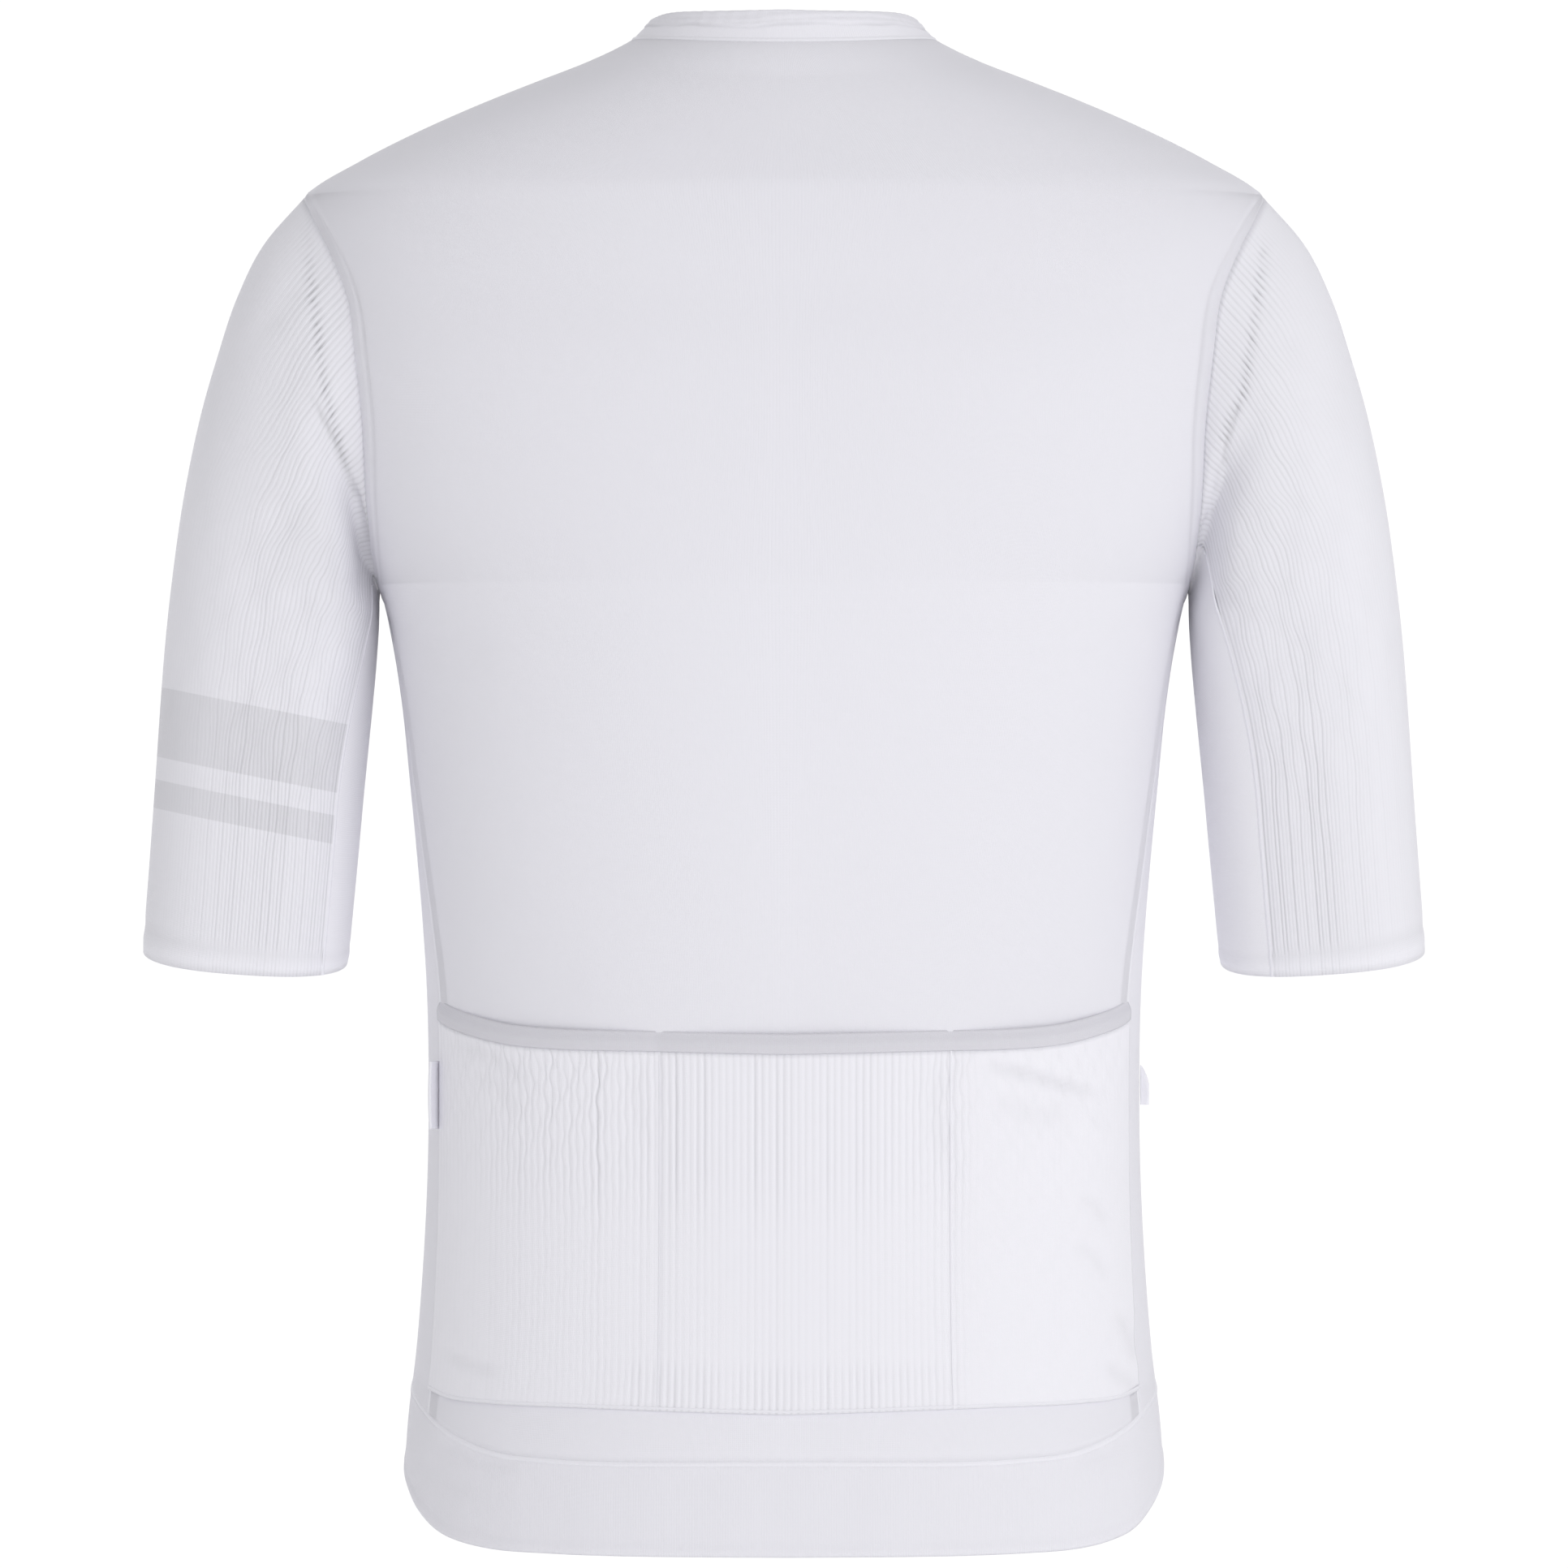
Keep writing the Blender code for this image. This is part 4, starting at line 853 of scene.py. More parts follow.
def sleeve_point(share, turn):
    """A point of the left sleeve; turn 0 is its top edge, 90 degrees its back."""
    share, turn = np.broadcast_arrays(share, np.asarray(turn, float))
    middle, point = sleeve_ring(share, turn)
    start = body_point(1, *armhole_spot(turn)) + np.array((SLEEVE_STANDOFF, 0, 0))
    keep = (1 - ease(share / SLEEVE_BLEND))[..., None]
    point = point + (start - sleeve_ring(share * 0, turn)[1]) * keep
    sunk = np.zeros(share.shape)
    for name, (path, depth, width) in DRAG_FOLDS.items():
        facing = np.sin(turn) > 0 if name == "back" else np.sin(turn) <= 0
        away, along = distance_to(point[..., [0, 2]], path)
        limit = np.minimum(1.0, np.abs(np.sin(turn)) * 3) * ease(share / 0.05)
        sunk += depth * limit * ease(along * 1.6) * bump_at(away, width) * facing
    inward = point - middle
    return point - inward / np.linalg.norm(inward, axis=-1, keepdims=True) * sunk[..., None]


cuff_round = sleeve_point(np.ones(200), np.linspace(0, 2 * math.pi, 200))
print("cuff round", round(float(travelled(cuff_round)[-1]), 3))

# %% [markdown]
# ### Laying the sleeve's cloth
# A sleeve's net runs from one underarm seam over the top to the other, so its columns are the
# ribs. They start on a slant at the armhole and swing round to hang straight. They wander a
# little in the middle of the sleeve, where the knit is slack.

# %% The sleeve's net
SLEEVE_ROWS = ((0, 0), (.5, SLEEVE_BLEND), (1, 1))    # half of the rows lie near the armhole
SWING = 1.3              # the underarm seams have swung round at 1 / 1.3 of the length


def seam_turn(share, start_turns, end_turns, part):
    eased = ease(share * SWING)
    return np.radians(mix(mix(*start_turns, eased), mix(*end_turns, eased), part))


def sleeve_place(side, start_turns, end_turns, waver=0.0):
    def place(u, v):
        share = stops(v, *SLEEVE_ROWS)
        inside = ease(u / 0.04) * ease((1 - u) / 0.04)
        middle = ease(share / 0.2) * ease((0.95 - share) / 0.3)
        wander = (np.sin(share * 19 + u * 43) + 0.7 * np.sin(share * 37 - u * 61)
                  + 0.5 * np.sin(share * 61 + u * 97) + 0.12 * np.sin(share * 170 + u * 301))
        part = u + waver * inside * middle * wander
        return (sleeve_point(share, seam_turn(share, start_turns, end_turns, part))
                * np.array((side, 1, 1)))
    return place


def sleeve_hub(side):
    """The sleeve's middle line, so that outwards is known all round."""
    shares = np.linspace(0, 1, 60)
    middles = sleeve_ring(shares, shares * 0)[0]

    def hub(points):
        near = np.argmin(np.abs(middles[None, :, 2] - points[:, 2][:, None]), axis=1)
        return middles[near] * np.array((side, 1, 1))
    return hub


print("the left sleeve's back seam ends at turn", UNDER_SEAMS["left"][0][1], "degrees")

# %% [markdown]
# ### Folds of the sleeves
# Each sleeve has a crisp tuck that falls into the underarm, some soft pulls and a few fine
# sharp creases. The two sleeves differ, as they do on any worn jersey.

# %% Folds of the sleeves
GATHERS = {  # where the ribs break beside the armhole: x and z from behind, left and right
    1: ((0.2065, -0.0815), (0.2047, -0.1052), (0.2009, -0.1281), (0.1980, -0.1511),
        (0.1934, -0.1694), (0.1878, -0.1864)),
    -1: ((0.2083, -0.0883), (0.2058, -0.1059), (0.2030, -0.1236), (0.2002, -0.1387),
         (0.1977, -0.1553), (0.1913, -0.1659), (0.1896, -0.1747)),
}
TUCKS = {  # folds with one crisp edge that end in the underarm: x and z, depth, spread
    1: (((0.2054, -0.1543), (0.1980, -0.1694), (0.1910, -0.1853), (0.1853, -0.1970),
         (0.1797, -0.2199), (0.1761, -0.2337)), 0.0060, 0.0052),
    -1: (((0.1977, -0.1574), (0.1913, -0.1790), (0.1885, -0.1942), (0.1814, -0.2118),
          (0.1761, -0.2295)), 0.0030, 0.0060),
}
SLEEVE_PULLS = {  # soft folds seen from behind, left and right: path x, z, depth, width
    1: ((((0.2060, -0.1000), (0.2160, -0.1180), (0.2330, -0.1330)), -0.0007, 0.0055),
        (((0.1960, -0.1900), (0.2080, -0.2060), (0.2260, -0.2140)), -0.0009, 0.0060),
        (((0.1850, -0.2250), (0.2000, -0.2400), (0.2180, -0.2450)), -0.0010, 0.0055),
        (((0.1830, -0.2420), (0.1950, -0.2560), (0.2060, -0.2740)), -0.0008, 0.0050),
        (((0.2400, -0.2300), (0.2240, -0.2480), (0.2060, -0.2560)), -0.0005, 0.0060),
        (((0.2520, -0.3050), (0.2380, -0.3150), (0.2200, -0.3120)), -0.0005, 0.0070)),
    -1: ((((0.2020, -0.1050), (0.2120, -0.1260), (0.2260, -0.1400)), -0.0007, 0.0055),
         (((0.1900, -0.2000), (0.2040, -0.2140), (0.2200, -0.2240)), -0.0009, 0.0055),
         (((0.1800, -0.2380), (0.1960, -0.2500), (0.2120, -0.2480)), -0.0009, 0.0050),
         (((0.2300, -0.2500), (0.2160, -0.2620), (0.2040, -0.2840)), -0.0006, 0.0060),
         (((0.2460, -0.3100), (0.2300, -0.3240), (0.2160, -0.3260)), -0.0005, 0.0060)),
}
SLEEVE_CREASES = {  # fine sharp creases, from behind, left and right: x and z
    1: ((0.2050, -0.1530), (0.1911, -0.1797), (0.1852, -0.1942), (0.1810, -0.2062),
        (0.1793, -0.2182), (0.1765, -0.2310)),
    -1: ((0.1967, -0.1574), (0.1933, -0.1666), (0.1898, -0.1797), (0.1885, -0.1900)),
}


def tuck(x, z, path, depth, spread):
    """A fold that grows downwards, crisp towards the body and easing out along the sleeve."""
    path_x, path_z = np.array(path).T
    along = np.clip((path_z[0] - z) / (path_z[0] - path_z[-1]), 0, 1)
    off = x - np.interp(-z, -path_z, path_x)
    profile = np.where(off < 0, ease(1 + off / 0.0016), np.exp(-np.maximum(off, 0) / spread))
    return -depth * along ** 1.3 * profile * ease((z - path_z[-1] + 0.020) / 0.020)


print(len(SLEEVE_PULLS[1]), "pulls on the left sleeve and", len(SLEEVE_PULLS[-1]), "on the right")

# %% [markdown]
# ### Ribs of the sleeves
# Ribs show where they are gathered and vanish where the cloth is taut over the arm: strongest
# beside the armhole, clear again near the cuff, faint over the outer curve. Each rib is real
# relief with three squares to a rib, and its groove is also a mark by which the finish paints
# shade into it.

# %% Ribs of the sleeves
SLEEVE_RIBS, SLEEVE_RIB_DEPTH = 136, 0.00048
CUFF_HEM = 0.0092        # depth of the turned-up hem
HEM_LINE = 1 - CUFF_HEM / SLEEVE_LENGTH
RIB_SPREAD = {1: (0.75, 1.30), -1: (0.50, 1.50)}   # shallowest and deepest rib, left and right


def rib_strength(x, z, gather):
    """Strong where the ribs are gathered by the armhole, faint where the cloth is taut."""
    away, _ = distance_to(np.stack([x, z], axis=1), gather)
    middle_x = np.interp(-z, (0.10, 0.25, 0.40), (0.204, 0.2225, 0.2348))
    taut = ease((x - middle_x + 0.004) / mix(0.022, 0.040, ease((-z - 0.14) / 0.12)))
    strip = ease((np.interp(-z, -np.array(gather)[:, 1], np.array(gather)[:, 0]) - x) / 0.003)
    quiet = mix(mix(0.75, 0.95, ease((-z - 0.27) / 0.06)), 0.14, taut)
    depth = np.maximum(quiet, strip * 0.55 * (z > gather[-1][1])) + 1.7 * bump_at(away, 0.0020)
    return depth * mix(0.25, 1, ease((-z - 0.080) / 0.030))


def on_sleeve(side, points, v):
    """Points as if on the left sleeve, share of length, which face back, and the hem's line."""
    seen = points * np.array((side, 1, 1))
    share = stops(v, *SLEEVE_ROWS)
    behind = seen[:, 1] > 0
    return seen, share, behind, bump_at(share - HEM_LINE, 0.0036)


def rib_depth(side, points, u, v, ribs):
    seen, share, behind, hem = on_sleeve(side, points, v)
    x, y, z = seen.T
    depth = np.where(behind, rib_strength(x, z, GATHERS[side]), rib_strength(x, z, GATHERS[-side]))
    rest = ease((share - 0.42) / 0.2)
    depth = depth * mix(unlike(u * ribs, 0.75, 1.25), unlike(u * ribs, *RIB_SPREAD[side]), rest)
    return depth * (1 - 0.7 * hem) * mix(1, 0.6, ease((share - 0.972) / 0.004))


print("hem line of the cuffs at", round(HEM_LINE, 4), "of the length")

# %% [markdown]
# ### Sewing it all into the sleeves
# The same functions raise both pieces of a sleeve: the ribbed one over the arm and the smooth
# one under it, which has no ribs. A fine groove round the cuff marks the turned-up hem.

# %% Sleeves
def sleeve_crease(side, points, v):
    """How much of a sharp crease lies at each point: those behind differ from those in front."""
    seen, share, behind, _ = on_sleeve(side, points, v)
    drawn = 0
    for facing, line in ((behind, SLEEVE_CREASES[side]), (~behind, SLEEVE_CREASES[-side])):
        away, along = distance_to(seen[:, [0, 2]], line)
        drawn = drawn + facing * bump_at(away, 0.0010) * ease(along * 5) * ease((1 - along) * 5)
    return drawn


# Painted shade: the groove mark darkens the valleys between ribs, and the crease mark darkens the
# sharp creases and the hem's groove round the cuff.
def sleeve_marks(side, ribs):
    def marks(points, u, v):
        _, share, _, hem = on_sleeve(side, points, v)
        depth = rib_depth(side, points, u, v, ribs) if ribs else u * 0
        return {"rib": u * ribs, "groove": depth,
                "double": ease((share - HEM_LINE) / 0.004),
                "crease": np.maximum(sleeve_crease(side, points, v), hem * 0.32)}
    return marks


def sleeve_lift(side, ribs):
    def lift(points, u, v):
        seen, share, behind, hem = on_sleeve(side, points, v)
        x, y, z = seen.T
        height = -0.00034 * hem + 0.00016 * ease((share - HEM_LINE) / 0.006)
        height = height - 0.0004 * ease((share - 0.994) / 0.006)
        height += creases(seen, True, SLEEVE_PULLS[side])
        height += creases(seen, False, SLEEVE_PULLS[-side])
        if ribs:
            free = ease(share / 0.03) * ease(u / 0.05) * ease((1 - u) / 0.05)
            height += tuck(x, z, *TUCKS[side]) * behind * free
            height += tuck(x, z, *TUCKS[-side]) * ~behind * 0.8 * free
            height -= 0.0007 * sleeve_crease(side, points, v) * free
            edge = (ease(u / 0.006) * ease((1 - u) / 0.006) * ease(share / 0.008)
                    * ease((0.995 - share) / 0.012))
            height -= (SLEEVE_RIB_DEPTH * rib_groove(u * ribs)
                       * rib_depth(side, points, u, v, ribs) * edge)
        return height
    return lift


for label, side in SIDES:
    back_seam, front_seam = UNDER_SEAMS[label]
    over = tuple(angle - 360 for angle in front_seam)
    shell("sleeve_cloth_" + label, SLEEVE_RIBS * 3, 90, sleeve_place(side, over, back_seam, 0.0022),
          sleeve_hub(side), sleeve_lift(side, SLEEVE_RIBS), CLOTH,
          sleeve_marks(side, SLEEVE_RIBS))
    shell("underarm_cloth_" + label, 44, 96, sleeve_place(side, back_seam, front_seam),
          sleeve_hub(side), sleeve_lift(side, 0), CLOTH, sleeve_marks(side, 0))

# %% [markdown]
# ## Collar
# The low collar is cut from the elastic knit and turned over at the top. The turned part is
# sewn down along a wavy line half way up, and small wrinkles cross it.

# %% Collar
FRONT_COLLAR_HEIGHT, FRONT_COLLAR_LEAN = 0.022, 12
NECK_CENTRE = np.array((0, 0.004, 0))    # the collar leans in towards this line
COLLAR_HEIGHT, COLLAR_LEAN = columns(  # share from the back (0) to the zip (1): height, lean
    ((0.0, 0.0150, 26), (0.25, 0.0143, 34), (0.5, 0.0128, 44), (0.75, 0.0165, 28),
     (1.0, FRONT_COLLAR_HEIGHT, FRONT_COLLAR_LEAN)))


def collar_foot(u):
    """Foot of the collar, and share of the way from the back to the zip."""
    round_neck = np.abs(2 * u - 1)
    back_angle, back_z = neck_spot(np.clip(1 - 2 * round_neck, 0, 1), True)
    front_angle, front_z = neck_spot(np.clip(2 * round_neck - 1, 0, 1) * NECK_END, False)
    behind = round_neck < 0.5
    side = np.where(u <= 0.5, 1, -1)
    foot = body_point(side, np.where(behind, back_angle, front_angle),
                      np.where(behind, back_z, front_z))
    return foot, round_neck


def collar_hub(points):
    return axis_of_body(points) + NECK_CENTRE


def collar_place(u, v):
    foot, share = collar_foot(u)
    inward = collar_hub(foot) - foot
    inward /= np.linalg.norm(inward, axis=1, keepdims=True)
    straight = ease((share - 0.85) / 0.1)[:, None]
    inward = mix(inward, np.array((0, 1.0, 0)), straight)
    inward /= np.linalg.norm(inward, axis=1, keepdims=True)
    lean = np.radians(COLLAR_LEAN(share))[:, None]
    up = np.array((0, 0, 1.0)) * np.cos(lean) + inward * np.sin(lean)
    return foot + up * (COLLAR_HEIGHT(share) * (1 - v))[:, None]


def collar_line(u):
    """The wavy line of stitches under the turned part, as a share of the height."""
    return 0.50 + 0.045 * np.sin(u * 23 + 1) + 0.03 * np.sin(u * 51) + 0.012 * np.sin(u * 131)


def collar_lift(points, u, v):
    """The turned part stands up above its stitches, and small wrinkles cross it behind."""
    height = 1 - v
    above = height - collar_line(u)
    behind = ease((0.42 - np.abs(u - 0.5)) / 0.2)
    rise = mix(0.00022, 0.00050, ease((0.16 - np.abs(u - 0.5)) / 0.1))
    strip = rise * ease(above / 0.10) * (1 - 0.75 * ease((height - 0.84) / 0.16))
    wrinkles = 0.00010 * np.sin(u * 402 + 2 * np.sin(u * 37)) * ease(above / 0.15)
    wrinkles += 0.00012 * np.sin(height * 26 + 3 * np.sin(u * 19)) * ease(above / 0.12)
    return strip + behind * wrinkles - 0.00020 * bump_at(above, 0.04)


def collar_marks(points, u, v):
    """Painted shadow along the stitch line, under the turned part, and a fainter line of it above.
    """
    above = 1 - v - collar_line(u)
    wavy = 0.6 + 0.4 * np.sin(u * 61 + 2)
    fine = bump_at(above - 0.24 - 0.04 * np.sin(u * 43), 0.035) * ease(np.sin(u * 71))
    return {"crease": bump_at(above - 0.02, 0.045) * wavy + 0.35 * fine,
            "double": ease(-above / 0.05)}


shell("collar_cloth", 320, 26, collar_place, collar_hub, collar_lift, 0.0014, collar_marks)

# %% [markdown]
# ## Flat seams
# Race clothing is sewn with flat seams: the edges butt together and several threads lace
# across them, which leaves a slim, faintly stepped cord on the outside. Each seam here is a
# narrow net laid along a line of the garment, arched across and rippled by its stitches.

# %% Seam strips
STITCH = 0.0022          # one stitch along the seam
SEAM_WIDTH, SEAM_RISE = 0.0021, 0.00055
SEAM_SUNK = 0.0001       # a strip's edges sink this far into the cloth


def even_line(points, step):
    """The same line with points an even step apart."""
    points = np.asarray(points, float)
    length = travelled(points)
    where = np.linspace(0, length[-1], max(2, int(round(length[-1] / step))) + 1)
    return np.stack([np.interp(where, length, points[:, k]) for k in range(3)], axis=1)


def seam_net(net, points, normals, width=SEAM_WIDTH, rise=SEAM_RISE, lift=0.0, parting=0.30):
    """Lays one arched, stitched strip along a line, parted down its middle."""
    line = even_line(points, STITCH / 4)
    share = np.linspace(0, 1, len(line))
    at = np.linspace(0, 1, len(points))
    normal = np.stack([np.interp(share, at, normals[:, k]) for k in range(3)], axis=1)
    normal /= np.linalg.norm(normal, axis=1, keepdims=True)
    ahead = np.gradient(line, axis=0)
    across = np.cross(normal, ahead)
    across /= np.linalg.norm(across, axis=1, keepdims=True)
    made = bmesh.ops.create_grid(net, x_segments=len(line) - 1, y_segments=4, size=0.5)
    for vert in made["verts"]:
        row = int(round((vert.co.x + 0.5) * (len(line) - 1)))
        part = vert.co.y * 2
        ripple = 0.5 + 0.5 * math.cos(2 * math.pi * (row / 4 + 0.25 * abs(part)))
        arch = (1 - part ** 2) * (0.72 + 0.28 * ripple) - parting * math.exp(-(part / 0.16) ** 2)
        vert.co = Vector(line[row] + across[row] * width / 2 * part * (0.93 + 0.07 * ripple)
                         + normal[row] * (lift + rise * arch - SEAM_SUNK))


def normals_of(points, hub):
    """Outward normals along a line on a rounded form, square to the line."""
    points = np.asarray(points, float)
    ahead = np.gradient(points, axis=0)
    ahead /= np.linalg.norm(ahead, axis=1, keepdims=True)
    away = points - hub(points)
    away -= ahead * np.sum(away * ahead, axis=1, keepdims=True)
    return away / np.linalg.norm(away, axis=1, keepdims=True)


def body_normal(side, angle, z):
    """Outward normal of the body at the spots given."""
    here = body_point(side, angle, z)
    around = body_point(side, angle + 2e-3, z) - body_point(side, angle - 2e-3, z)
    down = body_point(side, angle, z - 1e-4) - body_point(side, angle, z + 1e-4)
    normal = np.cross(around, down)
    normal /= np.linalg.norm(normal, axis=-1, keepdims=True)
    return normal * np.sign(np.sum(normal * here * np.array((1, 1, 0)), axis=-1, keepdims=True))


print("one stitch is", STITCH * 1000, "mm long, and a seam", SEAM_WIDTH * 1000, "mm wide")

# %% [markdown]
# ### Seams of the body
# The side seams lie nearly flat, the band's seam stands up a little, and the shoulder and neck
# seams are full flat seams. All of them are one piece, since one thread finish serves them.

# %% Seams of the body
seams = bmesh.new()
SIDE_SEAM = {"width": 0.0026, "rise": 0.00026, "parting": 0.0}
BAND_SEAM = {"width": 0.0024, "rise": 0.00042, "lift": 0.0001, "parting": 0.0}
steps = np.linspace(0, 1, 240)
down = stops(steps, (0, LAST_ROW + 1e-9), (.55, 16), (.58, 17), (.95, 18), (1, 19))
for side in (1, -1):
    for share in (0.0, 1.0):
        angle, z = body_spot(down, np.full(240, share), None, side_spot)
        seam_net(seams, body_point(side, angle, z), body_normal(side, angle, z), **SIDE_SEAM)
    shoulder = body_point(side, np.zeros(80), SHOULDER_LINE(np.linspace(0, TIP_ROW, 80)))
    seam_net(seams, shoulder, normals_of(shoulder, lambda points: points * (0.6, 0, 1)
                                         - np.array((0, 0, 0.12))))
side, angle = round_body(np.linspace(0, 1, 400), "band", 0.0)
z = line_z("band", 0.0, angle)
seam_net(seams, body_point(side, angle, z), body_normal(side, angle, z), **BAND_SEAM)
neck, _ = collar_foot(np.linspace(0, 1, 300))
seam_net(seams, neck, normals_of(neck, lambda points: points * (0.3, 0.3, 1)
                                 - np.array((0, 0, 0.02))), width=0.0024)
add_piece("body_seams", seams)

# %% [markdown]
# ### Seams of the sleeves
# The sleeves are sewn in with the same flat seam, only slimmer, and it also joins each ribbed
# sleeve to its smooth underarm piece.

# %% Seams of the sleeves
for label, side in SIDES:
    sewn = bmesh.new()
    turns = np.linspace(0, 2 * math.pi, 241)
    ring = sleeve_point(np.zeros(241), turns) * np.array((side, 1, 1))
    centre = ring.mean(axis=0)
    seam_net(sewn, ring, normals_of(ring, lambda points: centre + (-side * 0.10, 0, 0)),
             width=0.0013, rise=0.0002)
    for start_end in UNDER_SEAMS[label]:
        share = np.linspace(0.004, 1, 200)
        turn = np.radians(mix(*start_end, ease(share * SWING)))
        line = sleeve_point(share, turn) * np.array((side, 1, 1))
        middles = sleeve_ring(share, turn)[0] * np.array((side, 1, 1))
        seam_net(sewn, line, normals_of(line, lambda points: middles), width=0.0018, lift=0.0001)
    add_piece("sleeve_seams_" + label, sewn)

# %% [markdown]
# ### Stitches on the pocket
# The pocket's two dividing seams are single rows of stitches, and one more row holds its foot.

# %% Stitches on the pocket
pocket_place = on_back(pocket_zone, ON_PANEL + POCKET_CLOTH)
stitches = bmesh.new()
across = np.linspace(0, 1, 400)
for seam_x in POCKET_SEAMS_X:
    u = np.interp(-seam_x, -pocket_place(across, np.full(400, 0.5))[:, 0], across)
    line = pocket_place(np.full(120, u), np.linspace(0, 1, 120))
    seam_net(stitches, line, normals_of(line, axis_of_body), width=0.0010, rise=0.00025)
foot = pocket_place(np.linspace(0, 1, 300), np.full(300, 0.992))
seam_net(stitches, foot, normals_of(foot, axis_of_body), width=0.0011, rise=0.0004)
add_piece("pocket_stitching", stitches)

# %% [markdown]
# ## Side tabs
# A short strip, folded double and caught in each side seam, stands out from the body. The net
# runs out from the seam, round the fold and back again, so the two layers are one piece.

# %% Side tabs
TAB_GAP, TAB_CLOTH = 0.0015, 0.00042     # between the two layers, and the thickness of one
TURN_STARTS, TURN_SPAN = 0.42, 0.16      # shares of the strip: where it folds, and the fold


def tab(name, side, top_z, length, reach, splay, from_seam, root, drop):
    """A strip folded double; drop slants its upper outer corner."""
    middle_z = top_z - length / 2
    angle = math.radians(float(BACK_SEAM(middle_z))) - from_seam / float(HALF_WIDTH(middle_z))
    foot = body_point(side, angle, middle_z) + body_normal(side, angle, middle_z) * root
    out = np.array((side * math.sin(math.radians(splay)), math.cos(math.radians(splay)), 0))
    along = np.cross(out, (0, 0, 1.0))

    def place(u, v):
        arc = np.clip((u - TURN_STARTS) / TURN_SPAN, 0, 1) * math.pi
        reach_here = np.clip(np.where(u < 0.5, u, 1 - u) / TURN_STARTS, 0, 1)
        stand = (reach - TAB_GAP / 2) * reach_here + TAB_GAP / 2 * np.sin(arc)
        beside = TAB_GAP / 2 * np.cos(arc)
        sag = 0.0005 * np.sin(v * math.pi) * reach_here
        top = length / 2 - drop * np.minimum(stand / reach, 1) ** 1.6
        height = mix(top, -length / 2, v)
        return (foot + out * stand[:, None] + along * (beside + sag)[:, None]
                + np.array((0, 0, 1.0)) * height[:, None])
    middle = foot + out * reach / 2
    shell(name, 40, 40, place, lambda points: axis_of_body(points) + middle * (1, 1, 0),
          None, TAB_CLOTH)


tab("tab_loop_left", 1, top_z=-0.4430, length=0.0293, reach=0.0074, splay=25,
    from_seam=0.0028, root=0.0012, drop=0.0)
tab("tab_loop_right", -1, top_z=-0.4455, length=0.0173, reach=0.0038, splay=90,
    from_seam=0.0450, root=0.0004, drop=0.0080)

# %% [markdown]
# ## Zip
# The front closes with a full zip. Its two tapes lie flat beside the closed chain, and the
# teeth are small rounded blocks that alternate from side to side. The slider and its pull keep
# their solids and only get a metal finish, since they are plain hard shapes.

# %% Zip tapes
CHAIN_HALF_WIDTH, CHAIN_RISE = 0.0026, 0.00045
TAPE_HALF_WIDTH = 0.0060


def zip_line(v):
    """Points up the middle of the front, from the hem to the top of the collar, and normals."""
    hem, neck = float(LINE["hem"](-90)), -NECK_DROP
    full = (neck - hem) + FRONT_COLLAR_HEIGHT
    height = v * full
    z = hem + np.minimum(height, neck - hem)
    point = body_point(1, np.full(np.shape(v), -QUARTER), z)
    lean = math.radians(FRONT_COLLAR_LEAN)
    above = np.clip(height - (neck - hem), 0, None)[:, None]
    point = point + above * np.array((0, math.sin(lean), math.cos(lean)))
    slope = ease((height - (neck - hem) + 0.006) / 0.012)[:, None]
    on_body = body_normal(1, -QUARTER, z)
    normal = mix(on_body, np.array((0, -math.cos(lean), math.sin(lean))), slope)
    point[:, 0] = 0
    normal[:, 0] = 0
    return point, normal / np.linalg.norm(normal, axis=1, keepdims=True)


def zip_place(u, v):
    point, _ = zip_line(1 - v)
    return point + vectors((u - 0.5) * 2 * TAPE_HALF_WIDTH, 0.0, np.zeros(np.shape(u)))


def zip_lift(points, u, v):
    inside = CHAIN_HALF_WIDTH + 0.0003 - np.abs(points[:, 0])
    return CHAIN_RISE * ease(inside / 0.0005)


shell("zip_tape_cloth", 24, 260, zip_place, axis_of_body, zip_lift, 0.0010)

# %% [markdown]
# ### Zip teeth
# A moulded chain is hundreds of equal blocks, so each is a cube with a narrow bevel and no
# more, turned to the slope of the front and set a little to one side, by turns.

# %% Zip teeth
TOOTH_PITCH, CHAIN_LENGTH, TAPE_LENGTH = 0.0015, 0.541, 0.544
TOOTH = (0.0034, 0.0009, 0.0011)         # across, out and along the zip
TOOTH_OUT, TOOTH_ASIDE = 0.00068, 0.0007
teeth = bmesh.new()
count = int(CHAIN_LENGTH / TOOTH_PITCH)
points, normals = zip_line((np.arange(count) + 0.5) * TOOTH_PITCH / TAPE_LENGTH + 0.002)
for number in range(count):
    normal = Vector(normals[number])
    up = Vector((1, 0, 0)).cross(normal).normalized()
    turn = Matrix((Vector((1, 0, 0)), normal, up)).transposed().to_4x4()
    side = 1 if number % 2 else -1
    turn.translation = (Vector(points[number]) + normal * TOOTH_OUT
                        + Vector((side * TOOTH_ASIDE, 0, 0)))
    bmesh.ops.create_cube(teeth, size=1, matrix=turn @ Matrix.Diagonal((*TOOTH, 1)))
bmesh.ops.bevel(teeth, geom=teeth.edges[:], offset=0.00022, segments=1, profile=0.5,
                affect="EDGES", material=-1)
add_piece("zip_teeth", teeth)

# %% [markdown]
# ## Finishes
# A knit is rows of tiny loops. Drawn as geometry they would be millions of faces, so they are
# a fine bump on the cloth's own UV map, which is in metres. To write such patterns as plain
# sums, a small class wraps a shader socket and turns each sum into its Math node.

